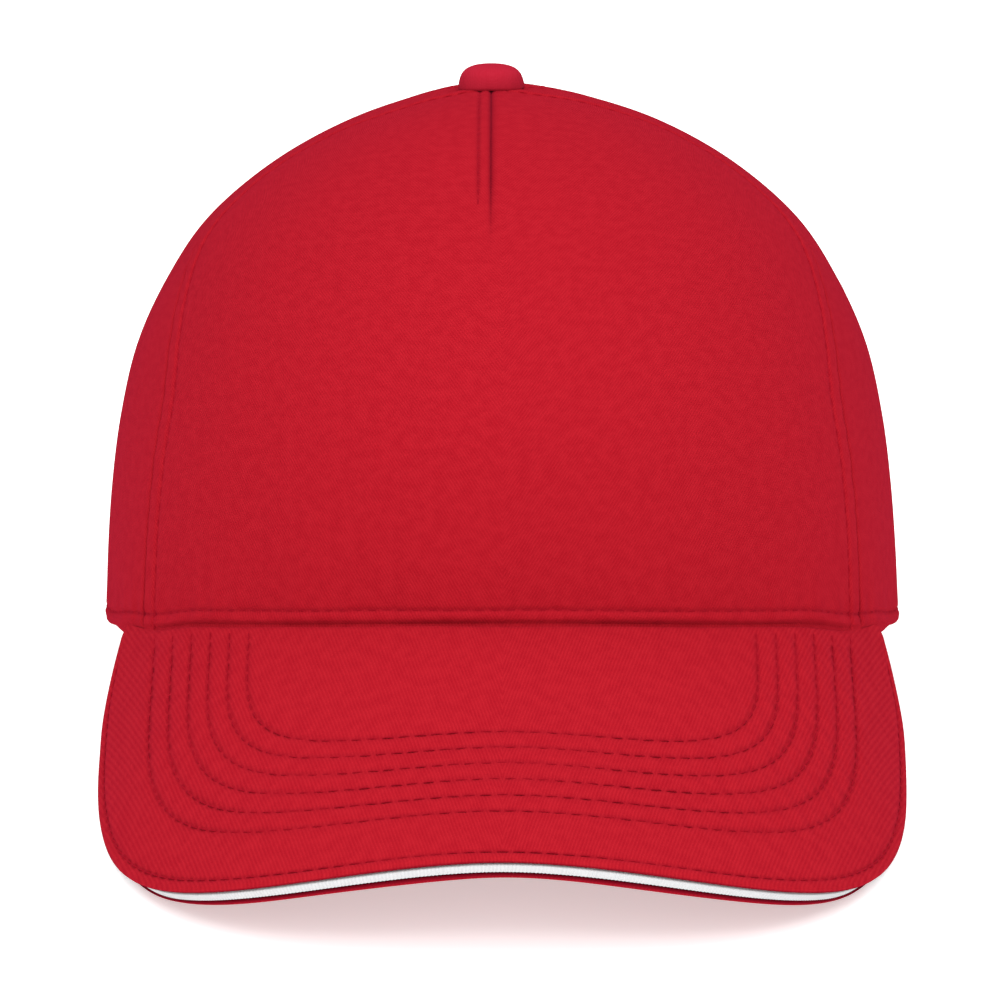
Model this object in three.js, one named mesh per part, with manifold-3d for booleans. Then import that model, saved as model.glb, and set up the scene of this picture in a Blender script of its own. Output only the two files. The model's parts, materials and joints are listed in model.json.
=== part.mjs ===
// Five-panel cap: a soft cloth crown of one front, two side and two back panels, a covered button,
// a curved peak in three layers, a sweatband and a closure strap under the arched rear opening.
// Millimetres, +Z up. The front of the cap looks toward -Y, and its own right is +X in front view.
// The cap is drawn in its own frame, whose z = 0 holds the rim behind the ears of the peak, and is
// then tipped onto the three places that it stands on: two low corners of the peak and the rear rim.
import * as THREE from "three";
import { mergeVertices } from "three/addons/utils/BufferGeometryUtils.js";
import Module from "manifold-3d";

const DEG = Math.PI / 180;

// Crown, measured on its outer face
const CROWN_HALF_WIDTH = 88.5;
const CROWN_HALF_LENGTH = 100;
const CROWN_HEIGHT = 120;
const CROWN_WALL = 1.8;
const FRONT_LIFT = 20;

// Seams of the crown, as azimuths from the front centre at the rim and at the top. The front seams
// turn outward between two climbs, and the back seams all the way up.
const FRONT_SEAM_RIM = 61.5 * DEG;
const FRONT_SEAM_TOP = 86 * DEG;
const FRONT_SEAM_BEND = { from: 0.3, to: 0.68 };
const BACK_SEAM_RIM = 119 * DEG;
const BACK_SEAM_TOP = 137 * DEG;
const BACK_SEAM_SWEEP = 1.2;

// The button and the sewn dart below it stand a little to one side of the middle
const APEX_OFFSET = -2.5;
const DART_LENGTH = 88;
const DART_HALF_WIDTH = 1.8;
const DART_DEPTH = 0.7;
const BUTTON_RADIUS = 7.3;
const BUTTON_HEIGHT = 4.4;

// Peak, whose surface is an elliptic arch across and a straight slope from crown to lip
const PEAK_REACH = 63.5;
const PEAK_SLOPE = 28 * DEG;
const PEAK_SIDE_INSET = 2;
const PEAK_SHOULDER = 40;
const PEAK_CORNER_POWER = 2.65;
const ARCH_SIDE_MARGIN = 9.5;
const ARCH_DEPTH = 95;
const EAR_AZIMUTH = 67 * DEG;
const EAR_WIDTH = 1.6;
const EAR_DROP = 3;
const SQUARE_EDGE_WIDTH = 24;
const REAR_RIM_FADE = 34 * DEG;
const PEAK_TOP_THICKNESS = 1.4;
const TRIM_THICKNESS = 2.3;
const TRIM_PROUD = 0.2;
const UNDERSIDE_THICKNESS = 1.4;
const WALL_BEHIND_PEAK = 2.5;

// Rear opening, closure strap and sweatband
const OPENING_HALF_WIDTH = 42;
const OPENING_HEIGHT = 46;
const STRAP_HEIGHT = 22;
const STRAP_THICKNESS = 2;
const STRAP_LIFT = 0.8;
const STRAP_TUCK = 12;
const SWEATBAND_HEIGHT = 32;
const SWEATBAND_THICKNESS = 1.5;

// Stitched eyelets in the side and back panels
const EYELET_HOLE = 3.6;
const EYELETS = {
  side: { azimuth: 101 * DEG, rise: 0.6 },
  back: { azimuth: 152 * DEG, rise: 0.66 },
};

// Clearance that neighbouring pieces keep
const GAP = 0.3;

// Rings of the crown from rim to top: each one's height as a share of the crown's height, and its
// reach as shares of the half width to the sides and of the half length to the front and the back
const CROWN_SECTIONS = [
  { rise: 0.0, side: 1.0, front: 1.0, back: 1.0 },
  { rise: 0.13, side: 0.995, front: 1.0, back: 1.0 },
  { rise: 0.26, side: 0.982, front: 0.99, back: 0.985 },
  { rise: 0.39, side: 0.958, front: 0.97, back: 0.955 },
  { rise: 0.52, side: 0.916, front: 0.925, back: 0.9 },
  { rise: 0.64, side: 0.842, front: 0.86, back: 0.83 },
  { rise: 0.75, side: 0.742, front: 0.765, back: 0.735 },
  { rise: 0.85, side: 0.585, front: 0.63, back: 0.605 },
  { rise: 0.925, side: 0.405, front: 0.475, back: 0.46 },
  { rise: 0.97, side: 0.225, front: 0.31, back: 0.31 },
  { rise: 0.99, side: 0.09, front: 0.15, back: 0.15 },
  { rise: 1.0, side: 0.0, front: 0.0, back: 0.0 },
];

// Height of the peak's underside and trim across the peak, as shares of the way from lip to crown
const PEAK_ROWS = [
  { share: 0.0, edge: 1 },
  { share: 0.13, edge: 1 },
  { share: 0.24, edge: 0.3 },
  { share: 0.36, edge: 0 },
  { share: 0.58, edge: 0 },
  { share: 0.79, edge: 0 },
  { share: 1.0, edge: 0 },
];
const TRIM_ROWS = 2;
const TRIM_END_SHARE = 0.94;

// Outline of the button, from its centre to its rim
const BUTTON_PROFILE = [
  { out: 0, up: 1 },
  { out: 0.4, up: 0.97 },
  { out: 0.7, up: 0.85 },
  { out: 0.88, up: 0.65 },
  { out: 0.97, up: 0.38 },
  { out: 1, up: 0.12 },
  { out: 0.96, up: 0 },
];

// How finely the surfaces are divided
const CROWN_ROWS = 18;
const ARCH_ROWS = 7;
const TOP_CLIMB_SHARE = 0.965;
const FRONT_COLUMNS = 28;
const SIDE_COLUMNS = 10;
const BACK_COLUMNS = 11;
const PEAK_COLUMNS = 40;
const BAND_COLUMNS = 52;
const STRAP_COLUMNS = 16;
const ROUND_SIDES = 24;
const HOLE_SIDES = 12;

const COLOURS = {
  twill: { color: "#c41b2c", roughness: 0.85 },
  peak: { color: "#c31b2d", roughness: 0.85 },
  button: { color: "#c0203a", roughness: 0.85 },
  ribbon: { color: "#e9e9e9", roughness: 0.8 },
  under: { color: "#b81828", roughness: 0.9 },
  band: { color: "#b01a28", roughness: 0.92 },
  strap: { color: "#b81a2a", roughness: 0.9 },
};

const smooth = (from, to, value) => THREE.MathUtils.smoothstep(value, from, to);
const mix = THREE.MathUtils.lerp;

// Height of the peak's upper face over a point of the plan; the face curls down toward the ears
function peakHeight(x, y) {
  const halfSpan = CROWN_HALF_WIDTH + ARCH_SIDE_MARGIN;
  const arch = 1 - Math.sqrt(1 - (x / halfSpan) ** 2);
  const nearSide = smooth(0.6, 0.95, Math.abs(x) / CROWN_HALF_WIDTH);
  const nearEar = nearSide * smooth(-1.05, -0.5, y / CROWN_HALF_LENGTH);
  const slope = (CROWN_HALF_LENGTH + y) * Math.tan(PEAK_SLOPE);
  return FRONT_LIFT - ARCH_DEPTH * arch + slope - EAR_DROP * nearEar;
}

// Upward normal of the peak's upper face
function peakNormal(x, y) {
  const step = 0.01;
  const slopeX = (peakHeight(x + step, y) - peakHeight(x - step, y)) / (2 * step);
  const slopeY = (peakHeight(x, y + step) - peakHeight(x, y - step)) / (2 * step);
  return new THREE.Vector3(-slopeX, -slopeY, 1).normalize();
}

// Height of the line where the peak meets the crown, falling to zero behind the ears
function seamHeight(azimuth) {
  const turn = Math.min(azimuth, EAR_AZIMUTH);
  const x = CROWN_HALF_WIDTH * Math.sin(turn);
  const y = -CROWN_HALF_LENGTH * Math.cos(turn);
  const fade = Math.max(1 - (azimuth - turn) / REAR_RIM_FADE, 0) ** 2;
  return peakHeight(x, y) * fade;
}

// Lower edge of the crown: behind the peak the wall goes on a little below the seam
function rimHeight(azimuth) {
  const turn = Math.abs(azimuth);
  const below = 1 - smooth(EAR_AZIMUTH, EAR_AZIMUTH + REAR_RIM_FADE / 3, turn);
  return seamHeight(turn) - WALL_BEHIND_PEAK * below;
}

// Curves through the section table, for the front half and the back half of the crown
function sectionCurve(reach) {
  const points = CROWN_SECTIONS.map((row) => new THREE.Vector3(row.side, row[reach], row.rise));
  return new THREE.CatmullRomCurve3(points, false, "catmullrom", 0.5);
}
const frontCurve = sectionCurve("front");
const backCurve = sectionCurve("back");

// Sideways shift of the rings, which brings the meeting point of the seams under the button
const apexShift = (climb) => APEX_OFFSET * smooth(0.78, 0.97, climb);

// Point of the crown's outer face: climb runs from 0 at the rim to 1 at the top
function crownFace(azimuth, climb) {
  const ring = (Math.cos(azimuth) > 0 ? frontCurve : backCurve).getPoint(climb);
  const x = CROWN_HALF_WIDTH * ring.x * Math.sin(azimuth) + apexShift(climb);
  const y = -CROWN_HALF_LENGTH * ring.y * Math.cos(azimuth);
  return new THREE.Vector3(x, y, mix(rimHeight(azimuth), CROWN_HEIGHT, ring.z));
}

// Outward normal of the crown
function crownNormal(azimuth, climb) {
  const step = 0.004;
  const low = Math.max(climb - step, 0);
  const along = crownFace(azimuth + step, climb).sub(crownFace(azimuth - step, climb));
  const up = crownFace(azimuth, low + 2 * step).sub(crownFace(azimuth, low));
  return along.cross(up).normalize();
}

// Point of the crown at a depth below its outer face
function crownPoint(azimuth, climb, depth) {
  return crownFace(azimuth, climb).addScaledVector(crownNormal(azimuth, climb), -depth);
}

// Climb at which a meridian reaches a height above the rim plane
function climbAt(azimuth, height) {
  let low = 0;
  let high = 1;
  for (let pass = 0; pass < 30; pass++) {
    const middle = (low + high) / 2;
    if (crownFace(azimuth, middle).z < height) {
      low = middle;
    } else {
      high = middle;
    }
  }
  return low;
}

// Azimuth whose meridian stands at a sideways distance from the middle at the back of the crown
function rearAzimuth(distance, climb) {
  const reach = CROWN_HALF_WIDTH * backCurve.getPoint(climb).x;
  return Math.PI - Math.asin(Math.min(distance / reach, 1));
}

// Height of the crown's outer face over a point near its top
function crownTop(x, y) {
  let low = 0.5;
  let high = 1;
  for (let pass = 0; pass < 30; pass++) {
    const middle = (low + high) / 2;
    const ring = (y < 0 ? frontCurve : backCurve).getPoint(middle);
    const across = (x - apexShift(middle)) / (CROWN_HALF_WIDTH * ring.x);
    const along = y / (CROWN_HALF_LENGTH * ring.y);
    if (Math.hypot(across, along) < 1) {
      low = middle;
    } else {
      high = middle;
    }
  }
  return CROWN_HEIGHT * frontCurve.getPoint(low).z;
}

// Closed solid between two faces of a grid: place(column, row, face) gives each point
function wallSolid(columns, rows, place) {
  const positions = [];
  const index = [];
  const stride = rows + 1;
  const count = (columns + 1) * stride;
  for (let face = 0; face < 2; face++) {
    for (let column = 0; column <= columns; column++) {
      for (let row = 0; row <= rows; row++) {
        positions.push(...place(column, row, face).toArray());
      }
    }
  }
  const quad = (a, b, c, d) => index.push(a, b, c, a, c, d);
  const at = (column, row, face) => face * count + column * stride + row;
  for (let column = 0; column < columns; column++) {
    for (let row = 0; row < rows; row++) {
      quad(at(column, row, 0), at(column + 1, row, 0), at(column + 1, row + 1, 0), at(column, row + 1, 0));
      quad(at(column, row, 1), at(column, row + 1, 1), at(column + 1, row + 1, 1), at(column + 1, row, 1));
    }
    quad(at(column, 0, 0), at(column, 0, 1), at(column + 1, 0, 1), at(column + 1, 0, 0));
    quad(at(column, rows, 0), at(column + 1, rows, 0), at(column + 1, rows, 1), at(column, rows, 1));
  }
  for (let row = 0; row < rows; row++) {
    quad(at(0, row, 0), at(0, row + 1, 0), at(0, row + 1, 1), at(0, row, 1));
    quad(at(columns, row, 0), at(columns, row, 1), at(columns, row + 1, 1), at(columns, row + 1, 0));
  }
  const geometry = new THREE.BufferGeometry();
  geometry.setAttribute("position", new THREE.Float32BufferAttribute(positions, 3));
  geometry.setIndex(index);
  return geometry;
}

// Azimuth of a seam at a climb
const frontSeam = (climb) =>
  mix(FRONT_SEAM_RIM, FRONT_SEAM_TOP, smooth(FRONT_SEAM_BEND.from, FRONT_SEAM_BEND.to, climb));
const backSeam = (climb) => mix(BACK_SEAM_RIM, BACK_SEAM_TOP, climb ** BACK_SEAM_SWEEP);

// Half of the clearance at a seam, as an angle around the crown
function seamAngle(azimuth, climb) {
  const step = 0.004;
  const arc = crownFace(azimuth + step, climb).distanceTo(crownFace(azimuth - step, climb));
  return (GAP * step) / arc;
}

// Climb of each row of the panels' grids: the lower rows divide the rear opening's arch evenly by
// angle, and the others go on to the top. All panels share the rows, so their seams match.
const archTop = climbAt(Math.PI, OPENING_HEIGHT);
const archHeight = (row) => OPENING_HEIGHT * Math.sin(((row / ARCH_ROWS) * Math.PI) / 2);
const rowClimbs = Array.from({ length: CROWN_ROWS + 1 }, (_, row) =>
  row < ARCH_ROWS
    ? climbAt(Math.PI, archHeight(row))
    : mix(archTop, TOP_CLIMB_SHARE, (row - ARCH_ROWS) / (CROWN_ROWS - ARCH_ROWS)),
);

// Azimuth of the dart and half its width as an angle, at a climb
function dartLine(climb) {
  const reach = CROWN_HALF_WIDTH * frontCurve.getPoint(climb).x;
  const azimuth = Math.asin((APEX_OFFSET - apexShift(climb)) / reach);
  return { azimuth, half: DART_HALF_WIDTH / (reach + 2 * DART_HALF_WIDTH) };
}

// Front panel, with the dart pressed into it below the button
function frontPanel() {
  const middle = FRONT_COLUMNS / 2;
  const place = (column, row, face) => {
    const climb = rowClimbs[row];
    const edge = frontSeam(climb) - seamAngle(frontSeam(climb), climb);
    const dart = dartLine(climb);
    const side = Math.sign(column - middle);
    const share = Math.max(Math.abs(column - middle) - 1, 0) / (middle - 1);
    const azimuth = mix(dart.azimuth + side * dart.half, side * edge, share);
    const below = CROWN_HEIGHT - crownFace(0, climb).z + CROWN_HALF_LENGTH * frontCurve.getPoint(climb).y;
    const fold = column === middle && face === 0 ? DART_DEPTH * (1 - smooth(0, DART_LENGTH, below)) : 0;
    return crownPoint(azimuth, climb, fold + face * CROWN_WALL);
  };
  return wallSolid(FRONT_COLUMNS, CROWN_ROWS, place);
}

// Side panel between the front seam and the back seam
function sidePanel(side) {
  const place = (column, row, face) => {
    const climb = rowClimbs[row];
    const front = frontSeam(climb) + seamAngle(frontSeam(climb), climb);
    const back = backSeam(climb) - seamAngle(backSeam(climb), climb);
    return crownPoint(side * mix(front, back, column / SIDE_COLUMNS), climb, face * CROWN_WALL);
  };
  return wallSolid(SIDE_COLUMNS, CROWN_ROWS, place);
}

// Half width of the arched rear opening at a height
const openingWidth = (height) => OPENING_HALF_WIDTH * Math.sqrt(Math.max(1 - (height / OPENING_HEIGHT) ** 2, 0));

// Back panel between the back seam and the centre seam, cut away below by half of the opening
function backPanel(side) {
  const place = (column, row, face) => {
    const climb = rowClimbs[row];
    const back = backSeam(climb) + seamAngle(backSeam(climb), climb);
    const centre = Math.PI - seamAngle(Math.PI, climb);
    const arch = rearAzimuth(openingWidth(archHeight(row)), climb);
    const edge = row < ARCH_ROWS ? Math.min(arch, centre) : centre;
    return crownPoint(side * mix(back, edge, column / BACK_COLUMNS), climb, face * CROWN_WALL);
  };
  return wallSolid(BACK_COLUMNS, CROWN_ROWS, place);
}

// Outline of the peak in plan from one ear round the lip to the other
function lipCurve() {
  const halfWidth = CROWN_HALF_WIDTH - PEAK_SIDE_INSET;
  const shoulderY = -CROWN_HALF_LENGTH + PEAK_SHOULDER;
  const forward = PEAK_SHOULDER + PEAK_REACH;
  const earX = (CROWN_HALF_WIDTH + GAP + EAR_WIDTH) * Math.sin(EAR_AZIMUTH);
  const earY = -(CROWN_HALF_LENGTH + GAP + EAR_WIDTH) * Math.cos(EAR_AZIMUTH);
  const half = [];
  for (let turn = 0; turn <= 90; turn += 3) {
    const x = halfWidth * Math.sin(turn * DEG) ** (2 / PEAK_CORNER_POWER);
    const y = shoulderY - forward * Math.cos(turn * DEG) ** (2 / PEAK_CORNER_POWER);
    half.push(new THREE.Vector2(x, y));
  }
  for (const share of [0.35, 0.7, 1]) {
    half.push(new THREE.Vector2(mix(halfWidth, earX, share ** 1.6), mix(shoulderY, earY, share)));
  }
  const mirrored = half.slice(1).reverse().map((point) => new THREE.Vector2(-point.x, point.y));
  return new THREE.SplineCurve([...mirrored, ...half]);
}
const lip = lipCurve();

// Point of the peak: turn runs from -1 to 1 along the lip, share from the lip to the crown, and
// depth goes down from the upper face. The layers' edges stand upright at the crown and at the
// narrow ears, and are square with the surface along the lip.
function peakPoint(turn, share, depth, proud) {
  const out = lip.getPointAt((turn + 1) / 2);
  const azimuth = EAR_AZIMUTH * turn;
  const rootX = (CROWN_HALF_WIDTH + GAP) * Math.sin(azimuth);
  const rootY = -(CROWN_HALF_LENGTH + GAP) * Math.cos(azimuth);
  const root = new THREE.Vector2(rootX, rootY);
  const flat = out.clone().lerp(root, share);
  flat.addScaledVector(out.clone().sub(root).normalize(), proud);
  const normal = peakNormal(flat.x, flat.y);
  const square = smooth(2 * EAR_WIDTH, SQUARE_EDGE_WIDTH, out.distanceTo(root));
  const upright = new THREE.Vector3(0, 0, mix(1, 1 / normal.z, square));
  const inward = upright.lerp(normal, square * (1 - smooth(0.6, 1, share)));
  return new THREE.Vector3(flat.x, flat.y, peakHeight(flat.x, flat.y)).addScaledVector(inward, -depth);
}

const peakTurn = (column) => (2 * column) / PEAK_COLUMNS - 1;

// Upper covered layer of the peak
function peakTop() {
  const place = (column, row, face) =>
    peakPoint(peakTurn(column), PEAK_ROWS[row].share, face * PEAK_TOP_THICKNESS, 0);
  return wallSolid(PEAK_COLUMNS, PEAK_ROWS.length - 1, place);
}

// Thickness of the trim along the lip, thinner toward the ears
const trimThickness = (turn) => TRIM_THICKNESS * (1 - 0.5 * smooth(0.8, TRIM_END_SHARE, Math.abs(turn)));

// White layer that shows between the upper and lower layers along the lip
function peakTrim() {
  const upper = PEAK_TOP_THICKNESS + GAP;
  const place = (column, row, face) => {
    const turn = TRIM_END_SHARE * peakTurn(column);
    const share = (PEAK_ROWS[1].share * row) / TRIM_ROWS;
    return peakPoint(turn, share, upper + face * trimThickness(turn), TRIM_PROUD);
  };
  return wallSolid(PEAK_COLUMNS, TRIM_ROWS, place);
}

// Lower layer of the peak, which passes below the trim at the lip and lies close to the top inside
function peakUnderside() {
  const place = (column, row, face) => {
    const turn = peakTurn(column);
    const room = (trimThickness(turn) + GAP) * (1 - smooth(TRIM_END_SHARE, 1, Math.abs(turn)));
    const upper = PEAK_TOP_THICKNESS + GAP + room * PEAK_ROWS[row].edge;
    return peakPoint(turn, PEAK_ROWS[row].share, upper + face * UNDERSIDE_THICKNESS, 0);
  };
  return wallSolid(PEAK_COLUMNS, PEAK_ROWS.length - 1, place);
}

// Band that follows the inside of the crown between two azimuths and two heights above the rim
function innerBand(columns, start, end, low, high, thickness) {
  const rows = 3;
  const place = (column, row, face) => {
    const azimuth = mix(start, end, column / columns);
    const rim = rimHeight(azimuth < Math.PI ? azimuth : azimuth - 2 * Math.PI);
    const climb = climbAt(azimuth, rim + mix(low, high, row / rows));
    return crownPoint(azimuth, climb, CROWN_WALL + GAP + face * thickness);
  };
  return wallSolid(columns, rows, place);
}

// Closure strap across the rear opening, tucked behind the panels on both sides
const strapEnd = Math.PI - rearAzimuth(OPENING_HALF_WIDTH + STRAP_TUCK, 0);
function closureStrap() {
  const top = STRAP_LIFT + STRAP_HEIGHT;
  return innerBand(STRAP_COLUMNS, Math.PI - strapEnd, Math.PI + strapEnd, STRAP_LIFT, top, STRAP_THICKNESS);
}

// Sweatband from one end of the strap round the front to the other
function sweatband() {
  const gapAngle = GAP / CROWN_HALF_WIDTH;
  const end = Math.PI - strapEnd - 1.5 * gapAngle;
  return innerBand(BAND_COLUMNS, -end, end, 0, SWEATBAND_HEIGHT, SWEATBAND_THICKNESS);
}

// Covered button, whose underside follows the top of the crown
function topButton() {
  const profile = BUTTON_PROFILE.map(({ out, up }) => new THREE.Vector2(BUTTON_RADIUS * out, BUTTON_HEIGHT * up));
  const closed = [...profile, new THREE.Vector2(0, 0)];
  const geometry = new THREE.LatheGeometry(closed.reverse(), ROUND_SIDES).rotateX(Math.PI / 2);
  const place = geometry.getAttribute("position");
  for (let vertex = 0; vertex < place.count; vertex++) {
    const x = place.getX(vertex) + APEX_OFFSET;
    const y = place.getY(vertex);
    const up = place.getZ(vertex);
    const seat = mix(crownTop(x, y), CROWN_HEIGHT, up / BUTTON_HEIGHT);
    place.setXYZ(vertex, x, y, seat + GAP + up);
  }
  return welded(geometry);
}

// Geometry with only positions and each point kept once
function welded(geometry) {
  const bare = new THREE.BufferGeometry();
  bare.setAttribute("position", geometry.getAttribute("position"));
  bare.setIndex(geometry.getIndex());
  return mergeVertices(bare, 1e-4);
}

const wasm = await Module();
wasm.setup();

// Solid for the cutting library
function toSolid(geometry) {
  return new wasm.Manifold(
    new wasm.Mesh({
      numProp: 3,
      vertProperties: new Float32Array(geometry.getAttribute("position").array),
      triVerts: new Uint32Array(geometry.getIndex().array),
    }),
  );
}

// Panel with its eyelet hole cut through the wall
function withEyelet(panel, side, eyelet) {
  const azimuth = side * eyelet.azimuth;
  const climb = climbAt(azimuth, CROWN_HEIGHT * eyelet.rise);
  const centre = crownPoint(azimuth, climb, CROWN_WALL / 2);
  const normal = crownNormal(azimuth, climb);
  const drill = new THREE.CylinderGeometry(EYELET_HOLE / 2, EYELET_HOLE / 2, 4 * CROWN_WALL, HOLE_SIDES);
  const turn = new THREE.Quaternion().setFromUnitVectors(new THREE.Vector3(0, 1, 0), normal);
  drill.applyQuaternion(turn).translate(centre.x, centre.y, centre.z);
  const cut = toSolid(panel).subtract(toSolid(welded(drill))).getMesh();
  const geometry = new THREE.BufferGeometry();
  geometry.setAttribute("position", new THREE.Float32BufferAttribute(cut.vertProperties, 3));
  geometry.setIndex(new THREE.Uint32BufferAttribute(cut.triVerts, 1));
  return geometry;
}

// Geometry turned right side out when its volume counts as negative
function facingOut(geometry) {
  const place = geometry.getAttribute("position");
  const index = Array.from(geometry.getIndex().array);
  const corner = (entry) => new THREE.Vector3().fromBufferAttribute(place, index[entry]);
  let volume = 0;
  for (let entry = 0; entry < index.length; entry += 3) {
    volume += corner(entry).dot(corner(entry + 1).cross(corner(entry + 2)));
  }
  if (volume < 0) {
    index.reverse();
    geometry.setIndex(index);
  }
  return geometry;
}

// Named mesh with its own material
function piece(name, geometry, finish) {
  const mesh = new THREE.Mesh(facingOut(geometry), new THREE.MeshStandardMaterial({ ...finish, metalness: 0 }));
  mesh.name = name;
  return mesh;
}

// Rest tilt: the slope of the line that touches the cap from below on both sides of its middle
function restTilt(meshes) {
  const points = meshes.flatMap((mesh) => {
    const place = mesh.geometry.getAttribute("position");
    return Array.from({ length: place.count }, (_, i) => ({ y: place.getY(i), z: place.getZ(i) }));
  });
  points.sort((a, b) => a.y - b.y || a.z - b.z);
  const hull = [];
  const turnsDown = (a, b, c) => (b.y - a.y) * (c.z - a.z) - (b.z - a.z) * (c.y - a.y) <= 0;
  for (const point of points) {
    while (hull.length > 1 && turnsDown(hull[hull.length - 2], hull[hull.length - 1], point)) {
      hull.pop();
    }
    hull.push(point);
  }
  const rear = hull.findIndex((point) => point.y > 0);
  return Math.atan2(hull[rear].z - hull[rear - 1].z, hull[rear].y - hull[rear - 1].y);
}

const crown = new THREE.Group();
crown.add(piece("front_panel", frontPanel(), COLOURS.twill));
for (const [label, side] of [["left", -1], ["right", 1]]) {
  crown.add(piece(`side_panel_${label}`, withEyelet(facingOut(sidePanel(side)), side, EYELETS.side), COLOURS.twill));
  crown.add(piece(`back_panel_${label}`, withEyelet(facingOut(backPanel(side)), side, EYELETS.back), COLOURS.twill));
}
crown.add(piece("top_button", topButton(), COLOURS.button));
crown.add(piece("sweatband", sweatband(), COLOURS.band));
crown.add(piece("closure_strap", closureStrap(), COLOURS.strap));

const peak = new THREE.Group();
peak.add(piece("peak_top", peakTop(), COLOURS.peak));
peak.add(piece("peak_trim", peakTrim(), COLOURS.ribbon));
peak.add(piece("peak_underside", peakUnderside(), COLOURS.under));

// The cap stands on its peak and rear rim, with the middle of its footprint at the origin
const tilted = new THREE.Group();
tilted.add(crown, peak);
tilted.rotation.x = -restTilt([...crown.children, ...peak.children]);

const cap = new THREE.Group();
cap.add(tilted);
cap.updateMatrixWorld(true);
const box = new THREE.Box3().setFromObject(cap, true);
tilted.position.set(-(box.min.x + box.max.x) / 2, -(box.min.y + box.max.y) / 2, -box.min.z);

export default cap;
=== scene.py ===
"""Five-panel cap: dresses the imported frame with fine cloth, stitches and finishes in a soft studio."""

import json
import logging
import math
from collections.abc import Callable, Sequence
from dataclasses import dataclass, field
from enum import Enum

import bpy
import numpy as np
from mathutils import Matrix, Vector


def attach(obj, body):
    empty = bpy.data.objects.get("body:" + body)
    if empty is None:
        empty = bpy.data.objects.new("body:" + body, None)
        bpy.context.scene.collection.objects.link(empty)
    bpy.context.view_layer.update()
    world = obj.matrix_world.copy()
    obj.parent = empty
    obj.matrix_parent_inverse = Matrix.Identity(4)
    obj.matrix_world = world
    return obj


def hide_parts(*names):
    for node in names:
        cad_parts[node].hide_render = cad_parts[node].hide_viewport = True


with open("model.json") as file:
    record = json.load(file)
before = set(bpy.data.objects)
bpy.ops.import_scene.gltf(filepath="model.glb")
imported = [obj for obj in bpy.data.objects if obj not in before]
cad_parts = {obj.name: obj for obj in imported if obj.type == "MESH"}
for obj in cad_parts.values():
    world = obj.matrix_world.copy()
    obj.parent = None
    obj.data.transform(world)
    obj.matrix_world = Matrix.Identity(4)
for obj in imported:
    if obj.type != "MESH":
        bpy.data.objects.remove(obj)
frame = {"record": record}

Array = np.ndarray
MM = 0.001
DEG = math.pi / 180
FAR = 99.0
LOG = logging.getLogger("cap")


def smooth(low: float, high: float, value: Array) -> Array:
    """Smooth step from 0 at low to 1 at high."""
    share = np.clip((value - low) / (high - low), 0, 1)
    return share * share * (3 - 2 * share)


def mix(start: Array | float, end: Array | float, share: Array | float) -> Array | float:
    """Value between start and end at a share of the way."""
    return start + (end - start) * share


def ripple(along: Array, length: float, phase: float) -> Array:
    """Uneven wave between -1 and 1 along a surface."""
    turn = 2 * math.pi * along / length
    return np.sin(turn + 1.3 * np.sin(turn / 4.7 + phase) + phase)


def roundover(distance: Array, radius: float) -> Array:
    """Height lost near an edge that is rounded over with a radius."""
    inside = np.clip(radius - distance, 0, radius)
    return radius - np.sqrt(radius**2 - inside**2)


def unit(vectors: Array) -> Array:
    """Vectors scaled to length 1."""
    return vectors / np.linalg.norm(vectors, axis=-1, keepdims=True)


def stack(*parts: Array) -> Array:
    """Points or vectors from arrays of their parts."""
    return np.stack(parts, axis=-1)


def split(points: Array) -> Array:
    """Arrays of the parts of points or vectors."""
    return np.moveaxis(points, -1, 0)


def quads(*corners: Array) -> Array:
    """Faces from four arrays of corner numbers."""
    return stack(*corners).reshape(-1, 4)


def circle(count: int) -> Array:
    """Angles of evenly spaced places round a circle."""
    return np.arange(count) * 2 * math.pi / count


def lengths(path: Array) -> Array:
    """Length of a path up to each of its points."""
    return np.concatenate([[0], np.cumsum(np.linalg.norm(np.diff(path, axis=0), axis=1))])


def at_places(places: Array, along: Array, values: Array) -> Array:
    """Rows of values at places along a path, between its points."""
    return stack(*(np.interp(places, along, column) for column in values.T))


def slopes(height: Callable[[Array, Array], Array], x: Array, y: Array, step: float) -> tuple[Array, Array]:
    """Slopes of a height over the plan, along x and along y."""
    slope_x = (height(x + step, y) - height(x - step, y)) / (2 * step)
    slope_y = (height(x, y + step) - height(x, y - step)) / (2 * step)
    return slope_x, slope_y


def link(name: str, data: bpy.types.ID) -> bpy.types.Object:
    """Object that shows some data in the scene."""
    made = bpy.data.objects.new(name, data)
    bpy.context.scene.collection.objects.link(made)
    return made


def curve(table: Array, place: Array, clamped: bool) -> Array:
    """Smooth curve through evenly numbered points.

    Args:
        table: The points, a row for each.
        place: Places along the curve, counted in points from 0.
        clamped: True where the end points are repeated beyond the ends, and False where the
            curve's ends are mirrored.

    Returns:
        A point of the curve for each place.
    """
    first = table[0] if clamped else 2 * table[0] - table[1]
    last = table[-1] if clamped else 2 * table[-1] - table[-2]
    padded = np.concatenate([[first], table, [last]])
    start = np.clip(np.floor(place).astype(int), 0, len(table) - 2)
    share = (place - start).reshape(place.shape + (1,) * (table.ndim - 1))
    a, b, c, d = (padded[start + step] for step in range(4))
    leave = (c - a) / 2
    arrive = (d - b) / 2
    cubic = 2 * b - 2 * c + leave + arrive
    square = 3 * c - 3 * b - 2 * leave - arrive
    return b + share * (leave + share * (square + share * cubic))


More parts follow.
